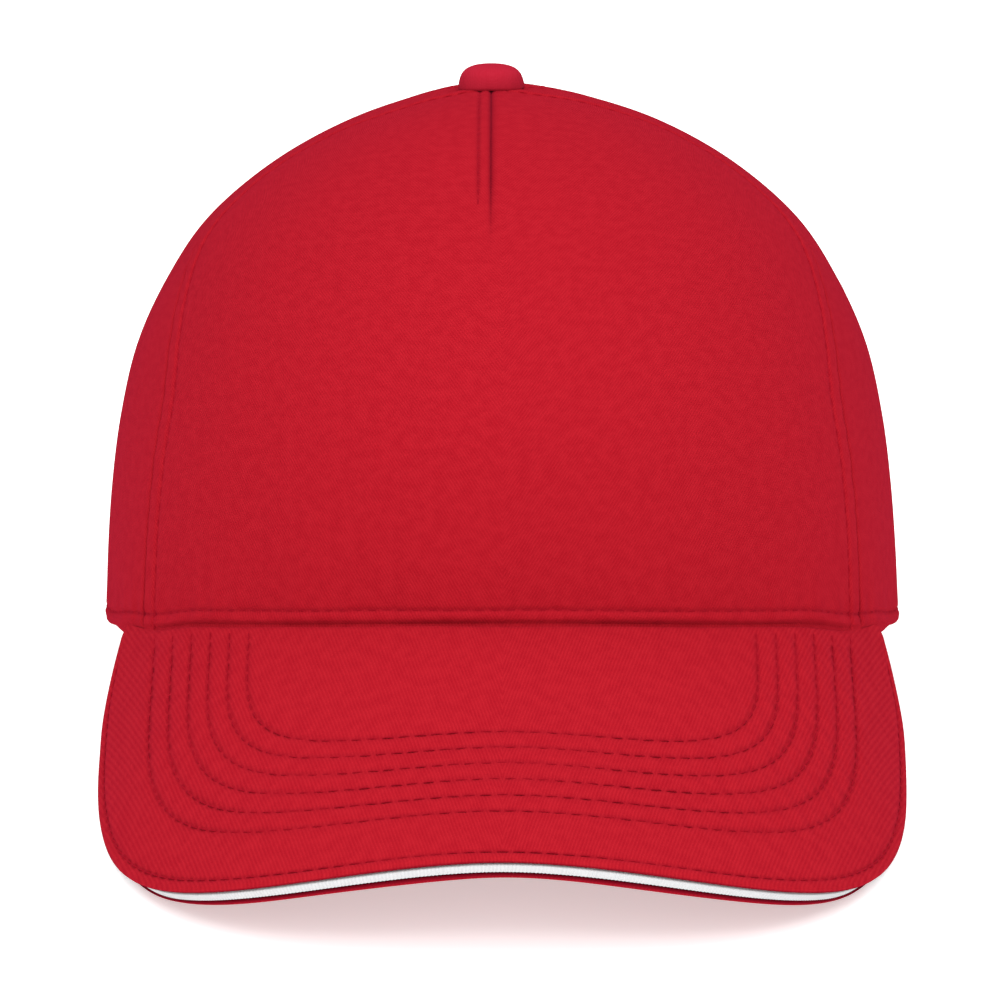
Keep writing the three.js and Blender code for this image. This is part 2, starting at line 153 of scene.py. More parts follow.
def spread(lines: Sequence[Array], rates: Sequence[Array], near: Array, middle: int) -> Array:
    """Columns between seam lines, close together near the lines and even elsewhere.

    Args:
        lines: Azimuths of the lines, an array over the rows for each.
        rates: Millimetres per radian at each line.
        near: Distances from a line, in millimetres, that always get a column.
        middle: Columns in the middle of each field.

    Returns:
        Azimuths as an array of columns by rows.
    """
    fields = []
    for place in range(len(lines) - 1):
        start, end = lines[place], lines[place + 1]
        room = 0.45 * (end - start) / near[-1]
        leave = start + near[:, None] * np.minimum(1 / rates[place], room)
        arrive = end - near[::-1, None] * np.minimum(1 / rates[place + 1], room)
        shares = np.linspace(0, 1, middle + 2)[1:-1, None]
        fields += [leave[1 if place else 0 :], mix(leave[-1], arrive[0], shares), arrive]
    return np.concatenate(fields)


@dataclass(frozen=True)
class Groove:
    """Rounded groove along a line, in millimetres."""

    width: float
    depth: float

    def at(self, distance: Array) -> Array:
        """Height at a distance from the line."""
        return -self.depth * np.exp(-((distance / self.width) ** 2))


@dataclass(frozen=True)
class Puckers:
    """Uneven ripples along a line that die away from it, in millimetres."""

    height: float
    length: float
    reach: float

    def at(self, along: Array, distance: Array, phase: float) -> Array:
        """Height at a place along the line and a distance from it."""
        return self.height * ripple(along, self.length, phase) * np.exp(-((distance / self.reach) ** 2))


@dataclass(frozen=True)
class Seat:
    """Places the cap's own frame, in millimetres, in the row frame, in metres."""

    tilt: float
    shift: tuple[float, float, float]

    @classmethod
    def from_record(cls, record: dict) -> "Seat":
        """Seat whose tilt and shift are those of the head opening in the record."""
        mount = next(row for row in record["mounts"] if row["name"] == "head_opening")
        return cls(math.atan2(mount["axis"][1], -mount["axis"][2]), tuple(mount["pos_m"]))

    def place(self, points: Array) -> Array:
        """Points of the row frame, in metres."""
        cos, sin = math.cos(self.tilt), math.sin(self.tilt)
        x, y, z = split(np.asarray(points, dtype=float)) * MM
        return stack(x, y * cos - z * sin, y * sin + z * cos) + self.shift


@dataclass(frozen=True)
class PeakShape:
    """Faces of the peak in the cap's own frame, in millimetres."""

    half_width: float = 88.5
    half_length: float = 100
    front_lift: float = 20
    slope: float = 28 * DEG
    side_margin: float = 9.5
    arch_depth: float = 95
    ear_azimuth: float = 67 * DEG
    ear_width: float = 1.6
    ear_drop: float = 3.4
    reach: float = 63.5
    side_inset: float = 2
    shoulder: float = 40
    corner_power: float = 2.65
    square_width: float = 24
    gap: float = 0.3
    root_gap: float = 0.04
    rows: int = 6
    row_width: float = 53.4
    row_width_step: float = 4.28
    row_reach: float = 29.7
    row_reach_step: float = 4.23
    row_power: float = 2.6
    row_start: float = 9
    row_start_step: float = 2.8
    row_groove: Groove = Groove(0.65, 0.28)
    row_puckers: Puckers = Puckers(0.08, 5.3, 2.2)
    edge_row: float = 2.0
    edge_groove: Groove = Groove(0.5, 0.3)
    edge_radius: float = 0.68
    swell: float = 0.12
    valley: float = 0.5

    def height(self, x: Array, y: Array) -> Array:
        """Height of the upper face over points of the plan."""
        arch = 1 - np.sqrt(np.clip(1 - (x / (self.half_width + self.side_margin)) ** 2, 0, 1))
        near_ear = smooth(0.7, 0.95, np.abs(x) / self.half_width) * smooth(-1.05, -0.5, y / self.half_length)
        rise = (self.half_length + y) * math.tan(self.slope)
        return self.front_lift - self.arch_depth * arch + rise - self.ear_drop * near_ear

    def normal(self, x: Array, y: Array) -> Array:
        """Upward normals of the upper face."""
        slope_x, slope_y = slopes(self.height, x, y, 0.01)
        return unit(stack(-slope_x, -slope_y, np.ones_like(slope_x)))

    def lip(self, turn: Array) -> Array:
        """Plan of the lip, for turns from -1 at one ear to 1 at the other."""
        ear_x = (self.half_width + self.gap + self.ear_width) * math.sin(self.ear_azimuth)
        ear_y = -(self.half_length + self.gap + self.ear_width) * math.cos(self.ear_azimuth)
        wide = self.half_width - self.side_inset
        shoulder_y = self.shoulder - self.half_length
        angle = np.arange(0, 91, 3) * DEG
        power = 2 / self.corner_power
        front = shoulder_y - (self.shoulder + self.reach) * np.clip(np.cos(angle), 0, 1) ** power
        corner = stack(wide * np.sin(angle) ** power, front)
        share = np.array([0.35, 0.7, 1])
        flank = stack(mix(wide, ear_x, share**1.6), mix(shoulder_y, ear_y, share))
        half = np.concatenate([corner, flank])
        table = np.concatenate([half[:0:-1] * [-1, 1], half])
        fine = curve(table, np.linspace(0, len(table) - 1, 3001), clamped=True)
        along = lengths(fine)
        return at_places((turn + 1) / 2 * along[-1], along, fine)

    def root(self, turn: Array) -> Array:
        """Plan of the edge at the crown."""
        azimuth = self.ear_azimuth * turn
        x = (self.half_width + self.root_gap) * np.sin(azimuth)
        return stack(x, -(self.half_length + self.root_gap) * np.cos(azimuth))

    def room(self, turn: Array) -> Array:
        """Distance in plan from the lip to the crown."""
        return np.linalg.norm(self.lip(turn) - self.root(turn), axis=-1)

    def point(self, turn: Array, share: Array, depth: Array, proud: Array | float = 0) -> Array:
        """Points of the peak.

        Args:
            turn: Places along the lip, from -1 to 1.
            share: Places from the lip, at 0, to the crown, at 1.
            depth: Depths below the upper face.
            proud: How far the points stand outside the lip.

        Returns:
            The points in the cap's own frame.
        """
        turn, share, depth = np.broadcast_arrays(turn, share, depth)
        out, root = self.lip(turn), self.root(turn)
        flat = mix(out, root, share[..., None]) + unit(out - root) * np.asarray(proud)[..., None]
        x, y = flat[..., 0], flat[..., 1]
        normal = self.normal(x, y)
        square = smooth(2 * self.ear_width, self.square_width, self.room(turn))
        upright = np.zeros_like(normal)
        upright[..., 2] = mix(1, 1 / normal[..., 2], square)
        inward = mix(upright, normal, (square * (1 - smooth(0.6, 1, share)))[..., None])
        return stack(x, y, self.height(x, y)) - inward * depth[..., None]

    def row_size(self, row: int) -> tuple[float, float, float]:
        """Half width, reach and start of the straight flanks of a stitched row."""
        width = self.row_width + self.row_width_step * row
        reach = self.row_reach + self.row_reach_step * row
        return width, reach, self.row_start + self.row_start_step * row

    def row_distance(self, x: Array, y: Array, row: int) -> Array:
        """Signed distance in plan from a stitched row."""
        width, reach, start = self.row_size(row)

        def level(across: Array, along: Array) -> Array:
            """Level of the row's outline, 1 on the row."""
            ahead = np.clip((-along - self.half_length + start) / (reach + start), 0, None)
            return (np.abs(across / width) ** self.row_power + ahead**self.row_power) ** (1 / self.row_power)

        return (level(x, y) - 1) / np.maximum(np.hypot(*slopes(level, x, y, 0.05)), 1e-4)

    def relief(self, turn: Array, share: Array) -> tuple[Array, Array]:
        """Height of the stitched grooves and the cloth's unevenness over the upper face.

        Args:
            turn: Places along the lip, from -1 to 1.
            share: Places from the lip, at 0, to the crown, at 1.

        Returns:
            Heights in millimetres, upward, and how far each point lies in a crease, from 0 to 1, which sets
            the painted crease shade.
        """
        x, y = split(mix(self.lip(turn), self.root(turn), share[..., None]))
        room = self.room(turn)
        from_lip = share * room
        lines = self.edge_groove.at(from_lip - self.edge_row)
        height = np.zeros_like(lines)
        for row in range(self.rows):
            distance = self.row_distance(x, y, row)
            lines += self.row_groove.at(distance)
            height += self.row_puckers.at(x + 0.7 * y, distance, row)
        near_root = smooth(0.5, 4, room - from_lip)
        height = (height + lines) * near_root
        height += self.swell * ripple(x, 61, 0.4) * ripple(y, 47, 1.1)
        height -= self.valley * (1 - smooth(0, 0.9, room - from_lip)) * (1 - smooth(0.8, 1, np.abs(turn)))
        at_ears = smooth(2, 9, room)
        # Painted shade in the stitched grooves, faded out at the ears.
        crease = smooth(0, 0.8, -lines * near_root * at_ears)
        return height * at_ears - roundover(from_lip, self.edge_radius), crease

    def row_path(self, row: int) -> tuple[Array, Array]:
        """Plan of a stitched row from the crown round the lip and back, as x and y."""
        width, reach, start = self.row_size(row)
        angle = np.linspace(-90, 90, 721) * DEG
        power = 2 / self.row_power
        x = width * np.sign(angle) * np.abs(np.sin(angle)) ** power
        y = -self.half_length - (reach + start) * np.clip(np.cos(angle), 0, 1) ** power + start
        back = np.linspace(60, 0, 121)[:-1]
        x = np.concatenate([np.full(back.shape, -width), x, np.full(back.shape, width)])
        y = np.concatenate([y[0] + back, y, y[-1] + back[::-1]])
        ahead = np.hypot(x / (self.half_width + 1.2), y / (self.half_length + 1.2)) > 1
        return x[ahead], y[ahead]


@dataclass(frozen=True)
class CrownShape:
    """Outer face of the crown in the cap's own frame, in millimetres, with its relief."""

    peak: PeakShape = PeakShape()
    half_width: float = 88.5
    half_length: float = 100
    top: float = 120
    wall: float = 1.8
    behind_peak: float = 2.5
    rear_fade: float = 28 * DEG
    ear_blend: float = 1.5 * DEG
    front_seam_azimuths: tuple[float, float] = (61.5 * DEG, 86 * DEG)
    front_seam_bend: tuple[float, float] = (0.3, 0.68)
    back_seam_azimuths: tuple[float, float] = (119 * DEG, 137 * DEG)
    back_seam_sweep: float = 1.2
    apex_offset: float = -2.5
    dart_length: float = 112
    dart_stitched: float = 84
    opening_half_width: float = 42
    opening_height: float = 46
    last_climb: float = 0.972
    topstitch: float = 5.3
    rear_topstitch: float = 4.4
    hem_stitch: float = 2.9
    hem_bulge: float = 0.25
    opening_stitch: float = 5.5
    dart_stitch: float = 2.7
    seam_grooves: tuple[Groove, Groove] = (Groove(0.8, 0.35), Groove(0.25, 0.85))
    topstitch_groove: Groove = Groove(0.5, 0.22)
    rear_groove: Groove = Groove(0.55, 0.18)
    hem_groove: Groove = Groove(0.45, 0.3)
    opening_groove: Groove = Groove(0.6, 0.22)
    dart_grooves: tuple[Groove, Groove] = (Groove(1.2, 0.22), Groove(0.5, 0.36))
    dart_crease: tuple[float, float] = (0.4, 0.45)
    valley: Groove = Groove(0.6, 0.7)
    ridge: float = 0.3
    puckers: Puckers = Puckers(0.09, 6.1, 5.5)
    gathers: Puckers = Puckers(0.16, 7.3, 4.5)
    folds: Puckers = Puckers(0.3, 37, 16)
    swell: float = 0.35
    rim_radius: float = 0.7
    opening_radius: float = 0.85
    sections: tuple[tuple[float, float, float, float], ...] = (
        # rise, side, front, back
        (0.0, 1.0, 1.0, 1.0),
        (0.13, 0.995, 1.0, 1.0),
        (0.26, 0.982, 0.99, 0.985),
        (0.39, 0.958, 0.97, 0.955),
        (0.52, 0.916, 0.925, 0.9),
        (0.64, 0.842, 0.86, 0.83),
        (0.75, 0.742, 0.765, 0.735),
        (0.85, 0.585, 0.63, 0.605),
        (0.925, 0.405, 0.475, 0.46),
        (0.97, 0.225, 0.31, 0.31),
        (0.99, 0.09, 0.15, 0.15),
        (1.0, 0.0, 0.0, 0.0),
    )

    def section(self, climb: Array) -> Array:
        """Rise and the shares of reach to the side, front and back, at climbs from 0 to 1."""
        table = np.array(self.sections)
        return curve(table, np.clip(climb, 0, 1) * (len(table) - 1), clamped=False)

    def climb_of_rise(self, rise: Array) -> Array:
        """Climb at which the crown reaches a share of its height."""
        climbs = np.linspace(0, 1, 4001)
        return np.interp(rise, self.section(climbs)[..., 0], climbs)

    def at_peak(self, azimuth: Array) -> Array:
        """1 where the peak meets the crown, fading to 0 behind its ears."""
        ear = self.peak.ear_azimuth
        return 1 - smooth(ear, ear + self.rear_fade / 3, np.abs(azimuth))

    def seam_height(self, azimuth: Array) -> Array:
        """Height of the line where the peak meets the crown, and of the rim behind its ears."""
        around = np.abs(azimuth)
        ear = self.peak.ear_azimuth
        turn = ear - self.ear_blend * np.logaddexp(0, (ear - around) / self.ear_blend)
        seam = self.peak.height(self.half_width * np.sin(turn), -self.half_length * np.cos(turn))
        return seam * np.clip(1 - (around - turn) / self.rear_fade, 0, None) ** 2

    def rim_height(self, azimuth: Array) -> Array:
        """Height of the crown's lower edge."""
        return self.seam_height(azimuth) - self.behind_peak * self.at_peak(azimuth)

    def apex_shift(self, climb: Array) -> Array:
        """Sideways shift of the rings, which brings the top under the button."""
        return self.apex_offset * smooth(0.78, 0.97, climb)

    def face(self, azimuth: Array, climb: Array) -> Array:
        """Points of the plain outer face."""
        rise, side, front, back = split(self.section(climb))
        x = self.half_width * side * np.sin(azimuth) + self.apex_shift(climb)
        y = -self.half_length * np.where(np.cos(azimuth) > 0, front, back) * np.cos(azimuth)
        return stack(x, y, mix(self.rim_height(self.wrap(azimuth)), self.top, rise))

    @staticmethod
    def wrap(azimuth: Array) -> Array:
        """Azimuth brought into the range from minus half a turn to half a turn."""
        return (azimuth + math.pi) % (2 * math.pi) - math.pi

    def normal(self, azimuth: Array, climb: Array) -> Array:
        """Outward normals of the plain outer face."""
        step = 0.004
        low = np.clip(climb - step, 0, None)
        along = self.face(azimuth + step, climb) - self.face(azimuth - step, climb)
        up = self.face(azimuth, low + 2 * step) - self.face(azimuth, low)
        return unit(np.cross(along, up))

    def rate(self, azimuth: Array, climb: Array) -> Array:
        """Millimetres around the crown per radian."""
        _, side, front, back = split(self.section(climb))
        along = np.where(np.cos(azimuth) > 0, front, back)
        return np.hypot(self.half_width * side * np.cos(azimuth), self.half_length * along * np.sin(azimuth))

    def front_seam(self, climb: Array) -> Array:
        """Azimuth of the seam between the front and the side panels."""
        return mix(*self.front_seam_azimuths, smooth(*self.front_seam_bend, climb))

    def back_seam(self, climb: Array) -> Array:
        """Azimuth of the seam between the side and the back panels."""
        return mix(*self.back_seam_azimuths, climb**self.back_seam_sweep)

    def side_reach(self, climb: Array) -> Array:
        """Half width of the ring at a climb."""
        return self.half_width * self.section(climb)[..., 1]

    def dart(self, climb: Array) -> Array:
        """Azimuth of the dart."""
        offset = self.apex_offset - self.apex_shift(climb)
        return np.arcsin(np.clip(offset / self.side_reach(climb), -1, 1))

    def below_button(self, climb: Array) -> Array:
        """Distance along the dart below the button, roughly."""
        front = self.section(climb)[..., 2]
        return self.top - self.face(self.dart(climb), climb)[..., 2] + self.half_length * front

    def opening_width(self, height: Array) -> Array:
        """Half width of the arched rear opening at heights above the rim."""
        return self.opening_half_width * np.sqrt(np.clip(1 - (height / self.opening_height) ** 2, 0, 1))

    def rear_azimuth(self, distance: Array | float, climb: Array) -> Array:
        """Azimuth at a sideways distance from the middle of the back."""
        return math.pi - np.arcsin(np.clip(distance / self.side_reach(climb), 0, 1))

    def rear_edge(self, climb: Array) -> Array:
        """Azimuth where a back panel ends: the opening's edge, and the centre seam above it."""
        height = self.top * self.section(climb)[..., 0]
        return self.rear_azimuth(self.opening_width(height), climb)

    def relief(self, azimuth: Array, climb: Array) -> tuple[Array, Array]:
        """Height of seams, stitched rows, hem, dart and soft ripples over the plain face.

        Args:
            azimuth: Azimuths from the front centre.
            climb: Climbs from the rim, at 0, to the top, at 1.

        Returns:
            Heights in millimetres, outward, and how far each point lies in a crease, from 0 to 1, which sets
            the painted crease shade.
        """
        azimuth, climb = np.broadcast_arrays(self.wrap(azimuth), climb)
        around = np.abs(azimuth)
        rise = self.section(climb)[..., 0]
        rate = self.rate(azimuth, climb)
        rim = self.rim_height(azimuth)
        above = mix(rim, self.top, rise) - self.seam_height(azimuth)
        front = (around - self.front_seam(climb)) * rate
        back = (around - self.back_seam(climb)) * rate
        centre = (math.pi - around) * rate
        outside = self.from_opening(around, climb)
        seamed = np.where((outside > 0) & (outside < FAR), centre, FAR)
        lines = self.topstitch_groove.at(front + self.topstitch) + self.hem_groove.at(above - self.hem_stitch)
        lines += self.opening_groove.at(outside - self.opening_stitch) + self.dart_lines(azimuth, climb)
        for distance in (back, centre):
            lines += self.rear_groove.at(np.abs(distance) - self.rear_topstitch)
        height = self.hem(above) + self.fold(-front) + self.softness(azimuth, climb, above)
        for distance, phase in ((front, 2.0), (back, 0.7), (seamed, 0.5)):
            lines += sum(groove.at(distance) for groove in self.seam_grooves)
            height += self.puckers.at(above, distance, phase)
        lines *= smooth(-0.2, 0.9, above)
        height += lines + self.valley.at(above) * (1 - smooth(0.8, 1, around / self.peak.ear_azimuth))
        height -= roundover(rise * (self.top - rim), self.rim_radius)
        height -= roundover(np.clip(outside, 0, None), self.opening_radius)
        # The second value darkens the colour in the grooves, as painted shade.
        return height, smooth(0, 0.85, -lines)

    def from_opening(self, around: Array, climb: Array) -> Array:
        """Distance outside the arched rear opening, roughly, and FAR where it is out of reach."""
        across = self.side_reach(climb) * np.sin(around)
        up = self.section(climb)[..., 0] * self.top
        level = np.hypot(across / self.opening_half_width, up / self.opening_height)
        outside = (level - 1) * 0.5 * (self.opening_half_width + self.opening_height)
        return np.where(around > 0.7 * math.pi, outside, FAR)

    def fold(self, inside: Array) -> Array:
        """Height of the folded cloth between a front seam and its topstitching."""
        end = self.topstitch
        return self.ridge * smooth(0, 0.8, inside) * (1 - smooth(end - 0.8, end + 0.5, inside))

    def hem(self, above: Array) -> Array:
        """Height of the bulging hem below its stitched row."""
        end = self.hem_stitch
        return self.hem_bulge * smooth(-0.2, 0.6, above) * (1 - smooth(end - 1.4, end + 0.2, above))

    def softness(self, azimuth: Array, climb: Array, above: Array) -> Array:
        """Height of the gathers at the hem, of the folds above it and of the slow swell of the cloth."""
        arc = 0.5 * (self.half_width + self.half_length) * azimuth
        waves = self.gathers.at(arc, above - self.hem_stitch, 0.6) + self.folds.at(arc, above, 2.1)
        swell = self.swell * np.sin(3.1 * azimuth + 0.9) * np.sin(5.2 * climb + 0.5)
        return (waves + swell * (1 - smooth(0.75, 0.95, climb))) * smooth(0.2, 2.5, above + 0.5)

    def dart_lines(self, azimuth: Array, climb: Array) -> Array:
        """Height of the sewn dart below the button and of the stitched row beside it."""
        distance = (azimuth - self.dart(climb)) * self.side_reach(climb)
        below = self.below_button(climb)
        strength = (1 - smooth(0.6 * self.dart_length, self.dart_length, below)) * (np.cos(azimuth) > 0)
        width, depth = self.dart_crease
        valley, row = self.dart_grooves
        crease = valley.at(distance - 0.3) - depth * np.exp(-np.abs(distance) / width)
        stitched = 1 - smooth(self.dart_stitched - 6, self.dart_stitched + 4, below)
        return strength * (crease + row.at(distance + self.dart_stitch) * stitched)

    def skin(self, azimuth: Array, climb: Array) -> Array:
        """Points of the outer face with its relief."""
        height = np.asarray(self.relief(azimuth, climb)[0])[..., None]
        return self.face(azimuth, climb) + self.normal(azimuth, climb) * height

    def cloth(self, azimuth: Array, climb: Array) -> Array:
        """Place on the cloth, in millimetres across and up."""
        rise, side, front, _ = split(self.section(climb))
        across = self.half_width * side * self.wrap(azimuth)
        cos = np.cos(np.clip(azimuth, -math.pi / 2, math.pi / 2))
        over = 1 - front * cos - (1 - cos) * front**3
        return stack(across, self.top * rise + self.half_length * over)

    def row_climbs(self, azimuth: Array, near: Array, shares: Array) -> Array:
        """Climbs of the grid's rows.

        Args:
            azimuth: Azimuths of the grid's columns.
            near: Heights above the rim of the lowest rows.
            shares: Places of the other rows, from the last of those at 0 to the top at 1.

        Returns:
            Climbs, with the rows as the last axis.
        """
        room = self.top - self.rim_height(self.wrap(azimuth))
        low = self.climb_of_rise(near / room[..., None])
        return np.concatenate([low, mix(low[..., -1:], self.last_climb, shares)], axis=-1)


@dataclass
class MeshMaker:
    """Makes meshes from arrays of points in the cap's own frame."""

    seat: Seat
    sharp_angle: float = 50 * DEG

    def solid(
        self,
        name: str,
        points: Array,
        faces: Sequence[Array],
        cloth: Array,
        crease: Array | None = None,
    ) -> bpy.types.Object:
        """Object in the row frame from points and faces.

        Args:
            name: The piece's name.
            points: Points in the cap's own frame, a row for each.
            faces: Arrays of corner numbers, a row for each face.
            cloth: Place of each point on the cloth, in millimetres.
            crease: How far each point lies in a crease, from 0 to 1, which sets how far its colour is
                darkened as painted shade.

        Returns:
            The object, smooth and right side out.
        """
        placed = self.seat.place(points)
        corners = [row for array in faces for row in array.tolist()]
        volume = 0.0
        for array in faces:
            first = placed[array[:, 0]]
            for turn in range(1, array.shape[1] - 1):
                second, third = placed[array[:, turn]], placed[array[:, turn + 1]]
                volume += np.einsum("ij,ij->", first, np.cross(second, third))
        if volume < 0:
            corners = [row[::-1] for row in corners]
        mesh = bpy.data.meshes.new(name)
        mesh.from_pydata(placed.tolist(), [], corners)
        owner = np.empty(len(mesh.loops), dtype=np.int32)
        mesh.loops.foreach_get("vertex_index", owner)
        layer = mesh.uv_layers.new(name="cloth")
        layer.data.foreach_set("uv", cloth[owner].astype(np.float32).ravel())
        # Painted shade: this attribute darkens the colour in creases in the material.
        if crease is not None:
            crease_shade_layer = mesh.attributes.new("crease", "FLOAT", "POINT")
            crease_shade_layer.data.foreach_set("value", crease.astype(np.float32))
        mesh.shade_smooth()
        mesh.set_sharp_from_angle(angle=self.sharp_angle)
        return link(name, mesh)

    def wall(
        self,
        name: str,
        outer: Array,
        inner: Array,
        cloth: Array,
        crease_shades: tuple[Array, Array] | None = None,
    ) -> bpy.types.Object:
        """Closed wall between two grids of columns by rows.

        Args:
            name: The piece's name.
            outer: Points of the outer face.
            inner: Points of the inner face.
            cloth: Places on the cloth, in millimetres.
            crease_shades: How far the points of each face lie in a crease, from 0 to 1, which sets their
                painted crease shade.

        Returns:
            The object.
        """
        columns, rows = outer.shape[:2]
        out, back = np.arange(2 * columns * rows).reshape(2, columns, rows)
        faces = [
            quads(out[:-1, :-1], out[1:, :-1], out[1:, 1:], out[:-1, 1:]),
            quads(back[:-1, :-1], back[:-1, 1:], back[1:, 1:], back[1:, :-1]),
            quads(out[:-1, 0], back[:-1, 0], back[1:, 0], out[1:, 0]),
            quads(out[:-1, -1], out[1:, -1], back[1:, -1], back[:-1, -1]),
            quads(out[0, :-1], out[0, 1:], back[0, 1:], back[0, :-1]),
            quads(out[-1, :-1], back[-1, :-1], back[-1, 1:], out[-1, 1:]),
        ]
        points = np.concatenate([outer.reshape(-1, 3), inner.reshape(-1, 3)])
        crease = None if crease_shades is None else np.concatenate([side.ravel() for side in crease_shades])
        return self.solid(name, points, faces, np.tile(cloth.reshape(-1, 2), (2, 1)), crease)


@dataclass(frozen=True)
class Thread:
    """Sewing thread: rows of separate stitches as short rounded tubes."""

    length: float = 2.6
    pitch: float = 3.3
    radius: float = 0.18
    sides: int = 6
    stations: tuple[tuple[float, float, float], ...] = (
        # share of the length, lift, share of the radius
        (0.0, -0.3, 0.5),
        (0.15, -0.06, 0.9),
        (0.5, 0.03, 1.0),
        (0.85, -0.06, 0.9),
        (1.0, -0.3, 0.5),
    )

    def row(self, path: Array, normals: Array) -> tuple[Array, list[Array]]:
        """Stitches along a path.

        Args:
            path: Points of the path on the cloth.
            normals: Normals of the cloth there.

        Returns:
            Points, and the faces as a list of arrays of corner numbers.
        """
        along = lengths(path)
        count = max(int(along[-1] // self.pitch), 1)
        share, lift, swell = np.array(self.stations).T
        start = (np.arange(count) + 0.5) * along[-1] / count - self.length / 2
        place = start[:, None] + share * self.length
        normal = unit(at_places(place, along, normals))
        tangent = unit(at_places(place + 0.1, along, path) - at_places(place - 0.1, along, path))
        across = unit(np.cross(tangent, normal))
        angle = circle(self.sides)
        spoke = across[:, :, None] * np.cos(angle)[:, None] + normal[:, :, None] * np.sin(angle)[:, None]
        spine = at_places(place, along, path) + normal * lift[:, None]
        points = spine[:, :, None] + spoke * (self.radius * swell)[:, None, None]
        ring = np.arange(points.size // 3).reshape(count, len(share), self.sides)
        following = np.roll(ring, -1, axis=2)
        tube = quads(ring[:, :-1], following[:, :-1], following[:, 1:], ring[:, 1:])
        return points.reshape(-1, 3), [tube, ring[:, 0, ::-1], ring[:, -1]]

    def sew(self, maker: MeshMaker, name: str, rows: Sequence[tuple[Array, Array]]) -> bpy.types.Object:
        """One mesh of all the stitches along several paths.

        Args:
            maker: Maker of the mesh.
            name: The piece's name.
            rows: Path and normals of each row.

        Returns:
            The object.
        """
        points: list[Array] = []
        faces: list[Array] = []
        count = 0
        for path, normals in rows:
            more, corners = self.row(path, normals)
            faces += [array + count for array in corners]
            points.append(more)
            count += len(more)
        joined = np.concatenate(points)
        return maker.solid(name, joined, faces, joined[:, :2])


class Val:
    """A shader socket, or what arithmetic makes of it."""

    def __init__(self, graph: "Graph", socket: bpy.types.NodeSocket) -> None:
        """Wraps a socket of a graph."""
        self.graph = graph
        self.socket = socket

    def math(self, operation: str, *others: "Val | float") -> "Val":
        """Result of a Math node whose first input is this value."""
        links = {place: value for place, value in enumerate((self, *others))}
        return self.graph.node("ShaderNodeMath", {"operation": operation}, links)

    def __add__(self, other: "Val | float") -> "Val":
        """Sum."""
        return self.math("ADD", other)

    __radd__ = __add__

    def __sub__(self, other: "Val | float") -> "Val":
        """Difference."""
        return self.math("SUBTRACT", other)

    def __rsub__(self, other: float) -> "Val":
        """Difference from a number."""
        return self.math("MULTIPLY", -1.0) + other

    def __mul__(self, other: "Val | float") -> "Val":
        """Product."""
        return self.math("MULTIPLY", other)

    __rmul__ = __mul__

    def __truediv__(self, other: "Val | float") -> "Val":
        """Quotient."""
        return self.math("DIVIDE", other)

    def __neg__(self) -> "Val":
        """Negative."""
        return self * -1.0

    def __abs__(self) -> "Val":
        """Absolute value."""
        return self.math("ABSOLUTE")

    def wave(self) -> "Val":
        """Wave from 0 to 1 with one crest for each whole step of this value."""
        return (self * (2 * math.pi)).math("SINE") * 0.5 + 0.5

    def range(self, low: float, high: float) -> "Val":
        """Smooth step from 0 at low to 1 at high."""
        links = {"Value": self, "From Min": low, "From Max": high}
        return self.graph.node("ShaderNodeMapRange", {"interpolation_type": "SMOOTHSTEP"}, links)


class Graph:
    """Shader tree of one material."""

    def __init__(self, name: str) -> None:
        """Makes an empty material."""
        self.material = bpy.data.materials.new(name)
        self.material.use_nodes = True
        self.tree = self.material.node_tree
        self.tree.nodes.clear()

    def node(self, kind: str, settings: dict, links: dict, output: int | str | None = 0) -> Val | None:
        """Any node, with its settings set first and then its inputs.

        Args:
            kind: Type of the node.
            settings: Its properties.
            links: Its inputs by name or number, each a Val or a constant.
            output: Name or number of the output that is returned, or None for a node without one.

        Returns:
            The output.
        """
        made = self.tree.nodes.new(kind)
        for key, value in settings.items():
            setattr(made, key, value)
        for key, value in links.items():
            if isinstance(value, Val):
                self.tree.links.new(value.socket, made.inputs[key])
            else:
                made.inputs[key].default_value = value
        return None if output is None else Val(self, made.outputs[output])

    def finish(self, shader: Val) -> bpy.types.Material:
        """Joins a shader to the output and returns the material."""
        self.node("ShaderNodeOutputMaterial", {}, {"Surface": shader}, None)
        return self.material

    def parts(self, place: Val) -> tuple[Val, Val]:
        """First two parts of a vector."""
        first = self.node("ShaderNodeSeparateXYZ", {}, {"Vector": place}, "X")
        return first, Val(self, first.socket.node.outputs["Y"])

    def noise(self, place: Val, scale: float, detail: float = 2.0) -> Val:
        """Noise from 0 to 1 over a place."""
        return self.node("ShaderNodeTexNoise", {}, {"Vector": place, "Scale": scale, "Detail": detail})

    def blend(self, first: tuple[float, ...] | Val, second: tuple[float, ...], share: Val) -> Val:
        """Colour between two colours, the first of which may be a socket."""
        links = {0: share, 6: first if isinstance(first, Val) else (*first, 1.0), 7: (*second, 1.0)}
        return self.node("ShaderNodeMix", {"data_type": "RGBA"}, links, 2)


def linear(colour: tuple[int, int, int], gain: float) -> tuple[float, ...]:
    """Linear colour from display values of 0 to 255, times a gain."""
    parts = (value / 255 for value in colour)
    curved = (part / 12.92 if part <= 0.04045 else ((part + 0.055) / 1.055) ** 2.4 for part in parts)
    return tuple(gain * part for part in curved)


class Weave(Enum):
    """How a cloth is woven."""

    TWILL = "twill"
    RIBBED = "ribbed"
    PLAIN = "plain"


